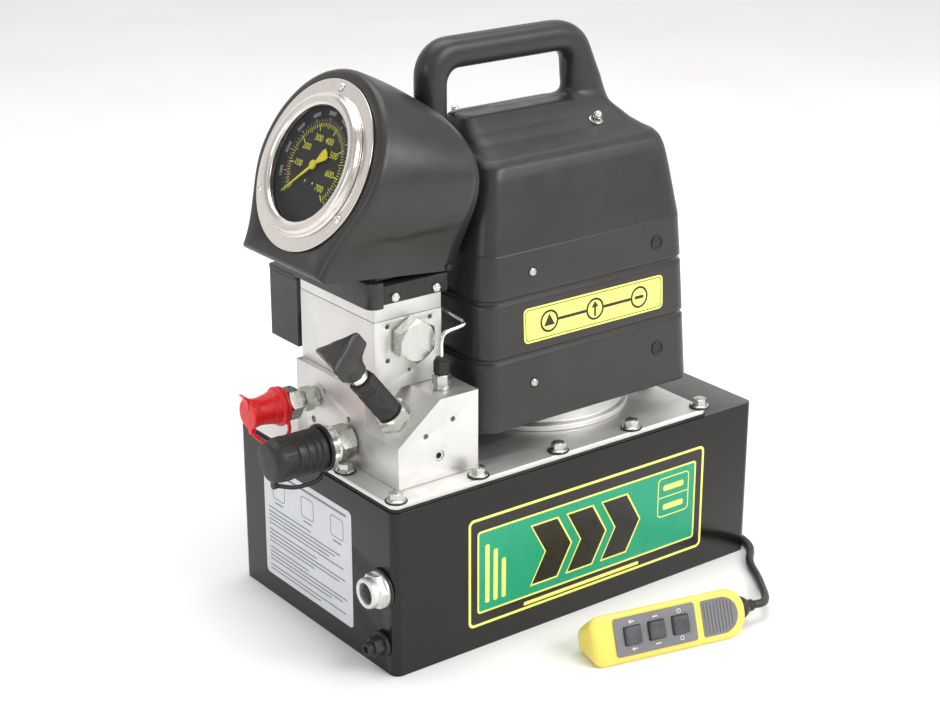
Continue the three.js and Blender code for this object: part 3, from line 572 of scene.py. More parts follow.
def bevelled(made, width, segments=3):
    """Rounds an object's hard edges with a modifier, keeping its flats flat."""
    bevel = made.modifiers.new("bevel", "BEVEL")
    bevel.width = width * MM
    bevel.segments = segments
    bevel.limit_method = "ANGLE"
    bevel.angle_limit = math.radians(SMOOTH_LIMIT)
    bevel.harden_normals = True


def walled(made):
    """Thickens a skin inwards with a modifier."""
    wall = made.modifiers.new("wall", "SOLIDIFY")
    wall.thickness = MOULDED_WALL * MM
    wall.offset = -1


def finish(made, material, body, stands_for=()):
    """Gives a piece its material and body, and hides the CAD nodes that it stands for."""
    made.data.materials.clear()
    made.data.materials.append(material)
    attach(made, body)
    if stands_for:
        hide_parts(*stands_for)
    return made


def extra(name, shape, slot, matrix=Matrix(), material=None, body=UNIT):
    """A piece of the builder's own that no CAD node holds."""
    made = new_object(name, shape, matrix)
    return finish(made, material or MATERIALS[slot], body)


def stand_in(name, shape, node, matrix=Matrix(), limit=SMOOTH_LIMIT):
    """A finer piece in place of a CAD node, with its body and material."""
    slot = SLOT_OF[node]
    made = new_object(name, shape, matrix, limit)
    return finish(made, MATERIALS[slot], NODES[node]["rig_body"], (node,))


def carved(made, *cutters):
    """Cuts other shapes out of a piece's mesh."""
    tools = [new_object("cutter", shape) for shape in cutters]
    for tool in tools:
        cut = made.modifiers.new("cut", "BOOLEAN")
        cut.operation = "DIFFERENCE"
        cut.solver = "EXACT"
        cut.object = tool
    old = made.data
    made.data = baked(made)
    made.modifiers.clear()
    for tool in tools:
        bpy.data.objects.remove(tool)
    bpy.data.meshes.remove(old)
    shade(made.data)


def keep_node(name, bevel):
    """Shows a CAD node as it is, with its facets merged and its edges softened by modifiers."""
    node = NODES[name]
    node.modifiers.new("weld", "WELD").merge_threshold = 0.01 * MM
    flat = node.modifiers.new("flat", "DECIMATE")
    flat.decimate_type = "DISSOLVE"
    flat.angle_limit = math.radians(0.5)
    for polygon in node.data.polygons:
        polygon.use_smooth = True
    bevelled(node, bevel)


for node_name, node_slot in SLOT_OF.items():
    NODES[node_name].data.materials.clear()
    NODES[node_name].data.materials.append(MATERIALS[node_slot])

KEPT_NODES = {
    "tank": 1.6, "tank_gasket": 0.3, "cover_plate": 0.8, "manifold_block": 0.8,
    "valve_column": 0.6, "column_cap": 0.6, "gauge_bracket": 0.6, "cowl_base": 0.9,
    "control_box": 1.4, "control_box_cover": 1.1, "motor_relay": 0.8, "pendant_panel": 0.35,
    "motor_housing": 1.0, "motor_rotor": 1.0, "cooling_fan": 0.4, "shaft_coupling": 0.5,
    "pump_cam": 0.5, "pump_body": 1.0, "suction_strainer": 0.8,
}
for node_name, edge in KEPT_NODES.items():
    keep_node(node_name, edge)


# ---------------------------------------------------------------- pendant cord
# Lengths are in millimetres, but for the cord's own in metres, and angles in degrees.
CORD_DIAMETER = 6.6
COIL_CENTRE = Vector((-76, 166, 0))
COIL_PITCH = 6.9
COIL_INNER = 30.6
COIL_TOP = 17.3
COIL_START = 208
COIL_TURNING = 8 * 360 + 118
STEP_WIDTH = 52
STEP_APART = 43
FIRST_STEP = 315
ROUND_AND_BACK = 360 - STEP_APART
POINTS_PER_TURN = 16


def coil_steps():
    """Where the winding steps over by one turn: (degrees turned, columns out, layers up)."""
    at, steps = FIRST_STEP, [(FIRST_STEP, 1, 0)]
    for turn, out, up in [
        (360, 1, 0), (ROUND_AND_BACK, 0, -1), (ROUND_AND_BACK, -1, 0), (360, -1, 0),
        (ROUND_AND_BACK, 0, -1), (ROUND_AND_BACK, 1, 0), (360, 1, 0),
    ]:
        at += turn
        steps.append((at, out, up))
    return steps


def coil_points():
    """The coil's turns, clockwise seen from above: out, down a layer, in, down, and out again."""
    steps = coil_steps()
    count = round(POINTS_PER_TURN * COIL_TURNING / 360)
    points = []
    for i in range(count + 1):
        turned_by = COIL_TURNING * i / count
        out = up = 0
        for at, columns, layers in steps:
            t = min(1, max(0, (turned_by - at) / STEP_WIDTH + 0.5))
            share = (1 - math.cos(math.pi * t)) / 2
            out += columns * share
            up += layers * share
        angle = math.radians(COIL_START - turned_by)
        reach = COIL_INNER + COIL_PITCH * out
        height = COIL_TOP + COIL_PITCH * up
        spot = Vector((reach * math.cos(angle), reach * math.sin(angle), height))
        points.append(COIL_CENTRE + spot)
    return points


CORD_DROP = [
    (-96, 111.4, 240), (-96, 119, 239.6), (-96, 128, 236.4), (-96, 134.6, 229), (-96, 137.6, 218),
    (-96, 138.6, 200), (-96, 138.6, 160), (-96, 138.6, 115), (-96, 138.6, 70), (-96, 138.6, 45),
    (-96, 138.6, 33), (-96.9, 140.3, 24.7), (-99.5, 145.1, 19.3),
]
ON_FLOOR = 3.5
CORD_LEAD = [(x, y, ON_FLOOR) for x, y in [
    (-50.8, 210.4), (-30, 210), (0, 206), (40, 196), (80, 182), (120, 164), (152, 147),
    (176, 128), (190, 106), (196, 84), (195, 40), (192.5, -10), (190.8, -55), (190.4, -85),
    (188.4, -102), (183.6, -113.6), (176.4, -122), (168, -129.6), (160.8, -138.4),
    (151.6, -154.2),
]]
CORD_LEAD += [
    (143.9, -166, 4.3), (138, -173.6, 5.6), (130.6, -183, 7.6), (122.4, -193, 10),
    (114, -201.6, 12.4), (105, -207.2, 14.3), (96.5, -205.7, 14.6),
]


def add_cord():
    """The pendant's cord, as one smooth curve from its gland to the pendant's boot."""
    points = [*(Vector(p) for p in CORD_DROP), *coil_points(), *(Vector(p) for p in CORD_LEAD)]
    curve = bpy.data.curves.new("pendant_cord", "CURVE")
    curve.dimensions = "3D"
    curve.bevel_depth = CORD_DIAMETER / 2 * MM
    curve.bevel_resolution = 5
    curve.resolution_u = 6
    curve.use_fill_caps = True
    spline = curve.splines.new("BEZIER")
    spline.bezier_points.add(len(points) - 1)
    for knot, point in zip(spline.bezier_points, points):
        knot.co = point * MM
        knot.handle_left_type = knot.handle_right_type = "AUTO"
    made = linked("pendant_cord", curve)
    stands_for = ("cord_drop", "cord_coil", "cord_lead")
    return finish(made, MATERIALS["cord_jacket"], UNIT, stands_for)


cord = add_cord()


# ---------------------------------------------------------------- studio
def add_light(name, location, target, size, power, colour=(1, 1, 1)):
    light = bpy.data.lights.new(name, "AREA")
    light.shape = "RECTANGLE"
    light.size, light.size_y = size
    light.energy = power
    light.color = colour
    holder = linked(name, light)
    holder.location = location
    aim = Vector(target) - Vector(location)
    holder.rotation_euler = aim.to_track_quat("-Z", "Y").to_euler()


def add_studio():
    """A pale floor under soft, even light, brighter from the front right and above."""
    half = 8
    corners = [(-half, -half, 0), (half, -half, 0), (half, half, 0), (-half, half, 0)]
    mesh = bpy.data.meshes.new("floor")
    mesh.from_pydata(corners, [], [(0, 1, 2, 3)])
    floor = linked("floor", mesh)
    material, tree, shader = new_material("pale_floor", sockets={"Specular IOR Level": 0.2})
    tint(tree, shader, noise(tree, 3, 3), (0.9, 0.9, 0.9), (0.94, 0.94, 0.94))
    vary_roughness(tree, shader, noise(tree, 8, 3), 0.75, 0.85)
    mesh.materials.append(material)

    world = bpy.data.worlds.new("studio")
    world.use_nodes = True
    tree, background = world.node_tree, world.node_tree.nodes["Background"]
    coordinates = tree.nodes.new("ShaderNodeTexCoord")
    patches = tree.nodes.new("ShaderNodeTexNoise")
    patches.inputs["Scale"].default_value = 1.3
    ramp = tree.nodes.new("ShaderNodeValToRGB")
    for element, position, grey in zip(ramp.color_ramp.elements, (0.42, 0.6), (0.5, 1.0)):
        element.position = position
        element.color = (grey, grey * 0.99, grey * 0.98, 1)
    tree.links.new(coordinates.outputs["Generated"], patches.inputs["Vector"])
    tree.links.new(patches.outputs["Fac"], ramp.inputs["Fac"])
    tree.links.new(ramp.outputs["Color"], background.inputs["Color"])
    background.inputs["Strength"].default_value = 1.1
    bpy.context.scene.world = world
    centre = (0, 0, 0.2)
    add_light("key", (0.7, -1.9, 1.5), centre, (1.4, 1.0), 30)
    add_light("top", (0.2, 0.3, 2.1), centre, (1.8, 1.4), 24)
    add_light("left", (-2.2, -0.3, 0.9), centre, (0.9, 1.2), 8)
    bpy.context.scene.view_settings.view_transform = "Standard"


add_studio()


# ---------------------------------------------------------------- tank fittings
def add_cover_bolts():
    """Hexagon flange bolts on black seals, round the cover plate, no two turned alike."""
    rows = [(x, y) for y in (-101.5, 101.5) for x in (-175, -99, -21, 54.5, 129)]
    rows += [(x, y) for x in (-175, 129) for y in (-34, 34)]
    flange = [(0, 1.2), (7.6, 1.2), (7.6, 1.9), (5.8, 3.0), (0, 3.0)]
    bolt = joined(turned(flange, 0.3), hex_bar(10, 2.9, 7.6), disc(3.4, 7.4, 7.9, 0.2))
    seal = turned([(0, 0.1), (8.6, 0.1), (8.6, 1.3), (0, 1.3)], 0.5)
    for number, (x, y) in enumerate(rows, 1):
        spin = Matrix.Rotation(math.radians(37 * number), 4, "Z")
        spot = place((x, y, PLATE_TOP)) @ spin
        extra(f"cover_bolt_{number:02d}", bolt, "zinc", spot)
        extra(f"cover_seal_{number:02d}", seal, "black_rubber", spot)


def add_tank_fittings():
    """The oil sight glass and the drain plug in the tank's left end."""
    ring = [(8.4, 9), (11.9, 9), (11.9, 14.6), (11.2, 16), (9.2, 16), (8.4, 15), (8.4, 9)]
    bezel = joined(disc(14.3, 1.6, 4.2), hex_bar(25, 4, 9.8, 100), turned(ring, 0.9))
    stand_in("sight_glass_nut", bezel, "sight_glass_bezel", SIGHT_GLASS)
    glass = [(0, 12.2), (8.6, 12.2), (8.6, 12.8), (6, 13.6), (0, 14)]
    stand_in("sight_glass_window", turned(glass, 0.4), "sight_glass_lens", SIGHT_GLASS)
    extra("sight_glass_well", disc(8.5, 9.6, 10.2), "black_rubber", SIGHT_GLASS)
    extra("sight_glass_washer", disc(15.8, 0.1, 2), "black_rubber", SIGHT_GLASS)
    boss = [(0, 10.8), (5.2, 10.8), (5.2, 16), (2.8, 16), (2.6, 12.4), (0, 12.4)]
    plug = joined(disc(10.6, 0.3, 3), hex_bar(14, 2.9, 11), turned(boss, 0.4))
    stand_in("drain_plug_body", plug, "drain_plug", DRAIN)


add_cover_bolts()
add_tank_fittings()


# ---------------------------------------------------------------- manifold fittings
def add_column_plug():
    head = joined(disc(14.6, 0.3, 2.2), hex_bar(31, 2, 12.5))
    stand_in("column_plug_head", head, "column_hex_plug", COLUMN_PLUG)


def add_manifold_plug():
    """A socket plug sunk in the manifold's front face."""
    spot = on_front(-126, BLOCK_LOW.y + 0.8, 161.6)
    rim = [(2.3, -3), (4.4, -3), (4.4, 0), (2.3, 0), (2.3, -3)]
    extra("manifold_plug", turned(rim, 0.4), "zinc", spot)
    extra("manifold_plug_socket", disc(2.4, -3, -2.6, 0.1), "black_steel", spot)


def button_screw(radius, height):
    """A dome head with a hexagon socket."""
    dome = [(0, 0), (radius, 0), (radius, height * 0.25), (radius * 0.8, height * 0.8)]
    dome += [(radius * 0.42, height), (radius * 0.38, height * 0.4), (0, height * 0.4)]
    return turned(dome, radius * 0.25, 48)


def add_bracket_screws():
    front = corner("gauge_bracket", 0).y
    for node, x in (("bracket_screw_left", -140.4), ("bracket_screw_right", -102.7)):
        spot = on_front(x, front - 0.3, 281.2)
        stand_in(node + "_head", button_screw(3.8, 2.3), node, spot)


def lobed_ring(radius, lobe, height):
    """A ring that swells to three straight-sided lobes with blunt tips."""
    ring = []
    for angle in around(96):
        off_tip = (angle - math.radians(17) + math.pi / 3) % (2 * math.pi / 3) - math.pi / 3
        swell = 1 / math.cos(math.pi / 3 - abs(off_tip)) - 1
        reach = radius + lobe * min(0.92, swell**1.3)
        ring.append((-reach * math.sin(angle), reach * math.cos(angle), height))
    return ring


def add_relief_valve():
    """Its nut, barrel, stem with a stop pin, and three-lobed knob."""
    seat = joined(disc(13.2, 0.2, 1), hex_bar(24, 0.9, 10.5, 0))
    stand_in("relief_nut_hex", seat, "relief_nut", RELIEF)
    barrel = [(0, 10.8), (9.4, 10.8), (10, 12), (10, 39.5), (8.8, 40.4), (0, 40.4)]
    bore = [(0, 49.9), (5, 49.9), (5, 50.4), (0, 50.4)]
    body = joined(turned(barrel, 0.6), hex_bar(18, 40, 50, 90, True), turned(bore, 0.1))
    stand_in("relief_barrel", body, "relief_body", RELIEF)
    collar = [(0, 50.6), (6, 50.6), (7.2, 51.4), (7.2, 56), (6.2, 56.9), (0, 56.9)]
    pin = swept([(0, 0, 0), (0, 0, 12), (0, 0, 22)], 0.95)
    pin_place = Matrix.Translation((0, 0, 53.5)) @ Matrix.Rotation(math.radians(201), 4, "Z")
    pin_place = pin_place @ Matrix.Rotation(math.radians(90), 4, "X")
    stem = joined(turned(collar, 0.5), shifted(pin, pin_place))
    stand_in("relief_screw", stem, "relief_stem", RELIEF)
    levels = [
        (8.2, 0, 57.3), (9.2, 0, 57.9), (9.6, 0.6, 62), (9.8, 2.4, 65), (10, 7.6, 68.4),
        (10.4, 11, 70.6), (10.6, 12, 72.4), (10.6, 12, 82.4), (10.2, 11.4, 84.4), (9.4, 10.2, 85.6),
        (6, 4, 86),
    ]
    knob = loft([lobed_ring(*level) for level in levels])
    stand_in("relief_knob_cap", knob, "relief_knob", RELIEF, limit=50)
    pin_hole = place(RELIEF @ Vector((0, 0, 63)), RELIEF_AXIS, (0, -1, 0))
    screw = disc(1, 9.4, 10.1, 0.1, 24)
    extra("relief_knob_screw", screw, "black_steel", pin_hole, body="relief_knob")


PILOT_ROUTE = [
    (-110.5, -70.6, 226), (-110.5, -70.6, 236), (-110.4, -70.6, 243), (-108.6, -70.6, 249),
    (-103, -70.5, 251.4), (-94, -70.5, 252.4), (-88.4, -69.6, 253.4), (-87, -66, 254.3),
    (-88.6, -58, 256.2), (-90.4, -48, 258.6), (-91, -36, 260.6), (-91.6, -26, 261.4),
    (-94, -21.6, 261.6), (-96.1, -21, 261.6),
]


def add_pilot_tube():
    body = joined(disc(6.3, 0.2, 3.6, 0.5), hex_bar(13, 3.5, 12.3, 90, True))
    stand_in("pilot_fitting_body", body, "pilot_fitting", PILOT_FITTING)
    nut = joined(hex_bar(11, 12.6, 23, 100, True), disc(4.6, 22.6, 25, 0.8))
    stand_in("pilot_fitting_nut", nut, "pilot_nut", PILOT_FITTING)
    stand_in("pilot_line", swept(PILOT_ROUTE, 1.6), "pilot_tube")


add_column_plug()
add_manifold_plug()
add_bracket_screws()
add_relief_valve()
add_pilot_tube()


# ---------------------------------------------------------------- quick couplers
def knurled(radius, low, high, teeth=60):
    """A band of fine straight knurling, chamfered at both ends."""
    groove = 0.35
    rings = []
    for height, inset in ((low, 0.7), (low + 0.6, 0), (high - 0.6, 0), (high, 0.7)):
        ring = []
        for i, angle in enumerate(around(teeth * 4)):
            reach = radius - inset - (groove if i % 4 in (0, 1) else 0)
            ring.append((reach * math.cos(angle), reach * math.sin(angle), height))
        rings.append(ring)
    return loft(rings)


def add_strap(name, node, ring_shape, route, thickness):
    """A cap's strap: an eye on the coupler and a loop to the cap."""
    slot = SLOT_OF[node]
    coupler = PRESSURE if node.startswith("pressure") else RETURN
    shape = joined(ring_shape, swept(route, thickness, 8))
    made = new_object(name, shape, coupler)
    made.data.materials.append(MATERIALS[slot])
    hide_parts(node)
    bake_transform(made)


def add_pressure_coupler():
    fitting = joined(disc(9.8, 0.3, 1.6), hex_bar(24, 1.5, 15.5, 90, True))
    stand_in("pressure_fitting_hex", fitting, "pressure_fitting", PRESSURE)
    nipple = [(0, 15.8), (11, 15.8), (11, 26), (12, 28), (12, 52), (10.5, 58), (8.5, 63), (0, 63)]
    stand_in("pressure_nipple_body", turned(nipple, 0.8), "pressure_nipple", PRESSURE)
    lip = [(11.4, 16.1), (14.6, 16.1), (15, 17.4), (14.4, 18), (14.4, 19), (11.4, 19), (11.4, 16.1)]
    sleeve = joined(turned(lip, 0.4), knurled(15.5, 18.8, 24.5))
    stand_in("pressure_sleeve_ring", sleeve, "pressure_sleeve", PRESSURE)
    rim = [(12.5, 28.5), (15.6, 28.5), (16.8, 30), (16.8, 34.2), (15.9, 34.8), (15.9, 35.2)]
    rim += [(16.8, 35.8), (16.8, 39.2), (15.9, 39.8), (15.9, 40.2), (16.8, 40.8), (16.8, 46.2)]
    rim += [(16.1, 46.8), (16.1, 47.2), (16.8, 47.8), (16.8, 54.2), (15.9, 54.8), (15.9, 55.3)]
    rim += [(16.8, 56), (16.8, 68), (15.2, 73.2), (13, 74.2), (0, 75.4)]
    cap = turned([(0, 66), (12.5, 66), *rim], 0.7, 96)
    tab = tile(-22.5, -14.5, -2.6, 2.6, 2, 66.6, 70.6)
    rib = swept([(16.6, 0, 56.8), (16.7, 0, 62), (16.5, 0, 67)], 0.5, 2, 8)
    ribs = [shifted(rib, Matrix.Rotation(angle, 4, "Z")) for angle in around(28)]
    stand_in("pressure_cap_shell", joined(cap, tab, *ribs), "pressure_cap", PRESSURE)
    eye = [(13.5, 25.3), (18.6, 25.3), (18.6, 28.1), (13.5, 28.1), (13.5, 25.3)]
    loop = [
        (-18, 0, 26.8), (-21, -1, 27.2), (-24.4, -2, 31), (-25.6, -2.5, 40), (-25.2, -2, 52),
        (-22.6, -0.8, 61), (-21, 0, 65.8), (-20.4, 0, 68.4),
    ]
    add_strap("pressure_strap", "pressure_cap_strap", turned(eye, 0.8), loop, 1.7)


def add_return_coupler():
    neck = [(0, 12.9), (7, 12.9), (7, 18.3), (0, 18.3)]
    fitting = joined(
        disc(8.4, 0.3, 3.1), hex_bar(17, 3, 13, 90, True), turned(neck, 0.3),
        hex_bar(23, 18, 29, 90, True),
    )
    stand_in("return_fitting_hex", fitting, "return_fitting", RETURN)
    nipple = [(0, 29.3), (8, 29.3), (8, 50), (6.5, 55), (0, 55)]
    stand_in("return_nipple_body", turned(nipple, 0.8), "return_nipple", RETURN)
    cap = [(0, 56.5), (8.5, 56.5), (8.5, 33.8), (15.2, 33.8), (15.8, 35), (15.2, 36.6), (13.5, 37)]
    cap += [(13.2, 39), (12.6, 42), (12.1, 42.6), (11.9, 44), (10.9, 51), (11, 55), (12.2, 59.6)]
    cap += [(12.2, 61), (11.4, 62), (0, 62)]
    tongue = [(4, 0, 61), (9, 0, 61.4), (13, 0, 62.6), (16, 0, 65.4)]
    section = [(-3.6, -1.3), (3.6, -1.3), (3.9, 0), (3.6, 1.3), (-3.6, 1.3), (-3.9, 0)]
    flap = loft([[p + Vector((0, y, z)) for y, z in section] for p in smooth_path(tongue, 5)])
    tab = tile(-17.2, -8, -2.6, 2.6, 2, 56.3, 60)
    stand_in("return_cap_shell", joined(turned(cap, 0.6), flap, tab), "return_cap", RETURN)
    eye = [(9.1, 30.6), (15.2, 30.6), (15.2, 33.4), (9.1, 33.4), (9.1, 30.6)]
    loop = [
        (-9.5, -10.5, 31.9), (-16, -12.5, 32.4), (-22, -11, 35), (-26, -6, 41), (-25.4, -2, 49),
        (-20.5, 0, 54.5), (-17.4, 0, 56.9), (-15.6, 0, 58.2),
    ]
    add_strap("return_strap", "return_cap_strap", turned(eye, 0.8), loop, 1.5)


add_pressure_coupler()
add_return_coupler()


# ---------------------------------------------------------------- gauge
DIAL_ZERO = -135
DIAL_SWEEP = 270
BAR_FULL = 700
PSI_FULL = 10000
PSI_PER_BAR = 14.5038


def dial_place(degrees, reach, height=0.0, upright=False):
    """A frame on the dial at an angle clockwise from its top."""
    angle = math.radians(degrees)
    spot = Matrix.Translation((reach * math.sin(angle), reach * math.cos(angle), height))
    return spot if upright else spot @ Matrix.Rotation(-angle, 4, "Z")


def tick(degrees, inner, outer, width):
    half = width / 2
    outline = [(-half, inner), (half, inner), (half, outer), (-half, outer)]
    return shifted(slab(outline, 0.02, 0.08), Matrix.Rotation(-math.radians(degrees), 4, "Z"))


def add_dial():
    """The dial with a yellow bar scale inside a white psi scale."""
    stand_in("gauge_dial_plate", disc(46, -0.8, 0, 0.2, 96), "gauge_dial", GAUGE)
    bar, psi = [], []
    for value in range(0, BAR_FULL + 1, 10):
        angle = DIAL_ZERO + DIAL_SWEEP * value / BAR_FULL
        major, middle = value % 100 == 0, value % 50 == 0
        inner = 26.5 if major else 28 if middle else 29.4
        bar.append(tick(angle, inner, 32.5, 0.9 if major else 0.5))
        if major and value:
            bar.append(lettering(str(value), 7, dial_place(angle, 21, 0.05, True)))
    for value in range(0, PSI_FULL + 1, 200):
        angle = DIAL_ZERO + DIAL_SWEEP * value / PSI_PER_BAR / BAR_FULL
        major = value % 1000 == 0
        psi.append(tick(angle, 33.4, 36.6 if major else 35, 0.6 if major else 0.35))
        if major and value:
            psi.append(lettering(str(value), 4.4, dial_place(angle, 40, 0.05)))
    for x in (-5, 5):
        psi.append(shifted(disc(0.9, 0.02, 0.1, 0.02, 20), Matrix.Translation((x, -13, 0))))
    extra("gauge_bar_scale", joined(*bar), "dial", GAUGE, PRINT_YELLOW)
    extra("gauge_psi_scale", joined(*psi), "dial", GAUGE, PRINT_WHITE)


def add_pointer():
    """A slim needle with a broad tail, at rest on zero."""
    needle = [(-0.3, 37), (-0.8, 20), (-1.2, 4), (-1.3, -4), (-4.4, -12.5), (-4.2, -16), (0, -16.6)]
    needle += [(4.2, -16), (4.4, -12.5), (1.3, -4), (1.2, 4), (0.8, 20), (0.3, 37)]
    hub = [(0, 1.2), (3.6, 1.2), (3.6, 2.8), (2.2, 3.3), (0, 3.4)]
    spindle = disc(1.2, -3, 1.5)
    turn = Matrix.Rotation(math.radians(-DIAL_ZERO), 4, "Z")
    shape = joined(slab(needle, 1.6, 2.2), turned(hub, 0.4), spindle)
    stand_in("gauge_needle", shape, "gauge_pointer", GAUGE @ turn)


def add_gauge_case():
    """The flanged case, its rolled bezel, the glass and three flange screws."""
    case = [
        (0, -46), (8, -46), (8, -32), (48, -32), (50, -30), (50, 0.3), (66, 0.3), (66, 1.9),
        (65.4, 2.1), (55, 2.1), (47, 2.1), (47, -30), (0, -30),
    ]
    stand_in("gauge_case_shell", turned(case, 0.35, 120), "gauge_case", GAUGE)
    bezel = [
        (47.3, 2.3), (55.4, 2.3), (55.8, 3.2), (54.4, 4.2), (54.2, 6.2), (52.6, 8.4), (50, 9.2),
        (47.4, 9), (45.4, 8), (44.2, 6.6), (44, 5), (46.6, 5), (47.3, 2.3),
    ]
    stand_in("gauge_bezel_ring", turned(bezel, 0.8, 120), "gauge_bezel", GAUGE)
    stand_in("gauge_glass", disc(46.5, 5.2, 6.4, 0.2, 96), "gauge_lens", GAUGE)
    for number, angle in enumerate((0, 120, 240), 1):
        spot = GAUGE @ dial_place(angle, 60, 2.1)
        extra(f"gauge_screw_{number}", button_screw(3.4, 2.2), "steel", spot)


# ---------------------------------------------------------------- gauge cowl
COWL_FRONT = {"half": 76.5, "rise": 75.5, "foot": 54.5, "drop": 77}
COWL_REAR = {"half": 77, "rise": 48, "foot": 54.5, "drop": 73.5}
COWL_REAR_X, COWL_REAR_Z, COWL_LEAN = -80, 365, 7
# The hood's sides swell most halfway back, above a height and away from a centre line.
COWL_SWELL, COWL_SWELL_ABOVE, COWL_CENTRE_Z = 1.6, 330, 366
COWL_RIM = 4.6
COWL_SHOULDER = -6
COWL_HOLE = 52


def arch(half, rise, foot, drop, inset=0.0):
    """The cowl's section as (across, up) pairs: an arch over sides that draw in to a flat foot."""
    side_steps, top_steps, foot_steps = 24, 64, 16
    right = []
    for step in range(side_steps):
        t = 1 - step / side_steps
        ease = t * t * (3 - 2 * t)
        right.append(Vector((half + (foot - half) * ease - inset, -(drop - inset) * t)))
    top = []
    for step in range(top_steps + 1):
        angle = math.pi * step / top_steps
        top.append(Vector(((half - inset) * math.cos(angle), (rise - inset) * math.sin(angle))))
    left = [Vector((-point.x, point.y)) for point in reversed(right)]
    bottom = []
    for step in range(1, foot_steps):
        across = (foot - inset) * (2 * step / foot_steps - 1)
        bottom.append(Vector((across, -(drop - inset))))
    return right + top + left + bottom


def cowl_front(inset, depth):
    matrix = GAUGE @ Matrix.Translation((0, 0, depth))
    return [matrix @ Vector((x, y, 0)) for x, y in arch(*COWL_FRONT.values(), inset)]


def cowl_rear():
    ring = []
    for across, up in arch(*COWL_REAR.values()):
        reach = COWL_REAR["rise"] if up > 0 else COWL_REAR["drop"]
        lean = COWL_LEAN * min(1, abs(up) / reach) ** 2
        ring.append(Vector((COWL_REAR_X - lean, -across, COWL_REAR_Z + up)))
    return ring


def add_cowl():
    """A thin moulded hood, open at the back, with a round rim about the gauge."""
    shoulder, rear = cowl_front(0, COWL_SHOULDER), cowl_rear()
    sides = []
    for step in range(1, 12):
        t = step / 12
        swell = COWL_SWELL * math.sin(math.pi * t)
        ring = []
        for a, b in zip(shoulder, rear):
            point = a.lerp(b, t)
            out = Vector((0, point.y, point.z - COWL_CENTRE_Z)).normalized()
            ring.append(point + out * swell * (1 if point.z > COWL_SWELL_ABOVE else 0))
        sides.append(ring)
    rim = []
    for a in map(math.radians, (22, 45, 68, 90)):
        rim.append(cowl_front(COWL_RIM * (1 - math.cos(a)), COWL_SHOULDER * (1 - math.sin(a))))
    hole = []
    for x, y in arch(*COWL_FRONT.values()):
        angle = math.atan2(y, x)
        edge = Vector((COWL_HOLE * math.cos(angle), COWL_HOLE * math.sin(angle), 0))
        hole.append(GAUGE @ edge)
    rings = [rear, *reversed(sides), shoulder, *rim, hole]
    made = new_object("gauge_hood", loft(rings, capped=False), limit=40, outward=False)
    walled(made)
    finish(made, MATERIALS["moulded_black"], UNIT, ("gauge_cowl",))
    spot = place((-92, -55.6, 295), (1, 0, 0), (0, 0.3, 1))
    extra("cowl_screw", button_screw(2.6, 1.4), "black_steel", spot)


add_dial()
add_pointer()
add_gauge_case()
add_cowl()


# ---------------------------------------------------------------- control box and motor adapter
def add_glands():
    nut = [(0, 0.3), (9, 0.3), (9, 8), (8, 10), (6.6, 12), (5.2, 17), (3.5, 17.4), (0, 17.4)]
    grip = joined(turned(nut, 0.8), hex_bar(17.6, 0.4, 7.6, 90, True))
    for node, x in (("pendant_gland", -96), ("mains_gland", -132)):
        spot = place((x, corner("control_box", 1).y, 240), (1, 0, 0), (0, 0, -1))
        stand_in(node + "_nut", grip, node, spot)


def add_motor_adapter():
    profile = [
        (22, 142.8), (78, 142.8), (78, 147), (74.5, 149.6), (73.5, 165), (70, 166.5), (9.5, 166.5),
        (9.5, 162), (22, 162), (22, 142.8),
    ]
    stand_in("motor_adapter_ring", turned(profile, 0.8, 120), "motor_adapter", MOTOR)


add_glands()
add_motor_adapter()


# ---------------------------------------------------------------- motor shroud
SHROUD_X = (-82, 135)
SHROUD_HALF_DEPTH = 85
SHROUD_BOTTOM = 163
SHROUD_CREASE = 303
SHROUD_CORNER = 16
SHROUD_TAPER = [(163, 0), (266, 5.3), (303, 7.6), (340, 13.4), (357, 16.4), (366, 19.5)]
SHROUD_ROOF = [
    (366, 19.5, 19.5), (370.5, 22.5, 24), (373, 27, 31), (377.5, 31, 44), (384, 34, 58),
    (389, 36, 66), (393, 38, 70), (394, 41, 72),
]
SHROUD_GROOVES = (220, 266)
PARTING = 0.3


def taper(z):
    heights, insets = zip(*SHROUD_TAPER)
    return float(np.interp(z, heights, insets))


def shroud_ring(z, inset_x, inset_y):
    radius = max(5, SHROUD_CORNER - inset_y * 0.1)
    half = SHROUD_HALF_DEPTH - inset_y
    outline = rounded(
        SHROUD_X[0] + inset_x, SHROUD_X[1] - inset_x, -half, half, min(radius, half - 1), 10,
    )
    return [Vector((x, y, z)) for x, y in outline]


def shroud_walls():
    """The drafted walls up to the crease, with two moulded grooves."""
    groove = [(-5, 0), (-2.8, 0), (-2.4, 0.2), (-1.2, 1.5), (-0.8, 1.7), (0.8, 1.7), (1.2, 1.5)]
    groove += [(2.4, 0.2), (2.8, 0), (5, 0)]
    levels = [(SHROUD_BOTTOM, 1.4), (SHROUD_BOTTOM + 0.5, 0.4), (SHROUD_BOTTOM + 1.4, 0)]
    levels.append((SHROUD_BOTTOM + 4, 0))
    for z in SHROUD_GROOVES:
        levels += [(z + offset, depth) for offset, depth in groove]
    levels += [(SHROUD_CREASE - 2, 0), (SHROUD_CREASE, 0)]
    rings = [shroud_ring(z, taper(z) + depth, taper(z) + depth) for z, depth in levels]
    return loft(rings, capped=False)


def shroud_top():
    """The closed upper part, from just under the crease to the ridge."""
    low = SHROUD_CREASE - 6
    rings = [shroud_ring(z, taper(z), taper(z)) for z in (low, SHROUD_CREASE, 322, 340, 350, 358)]
    rings += [shroud_ring(*level) for level in SHROUD_ROOF]
    return loft(rings)


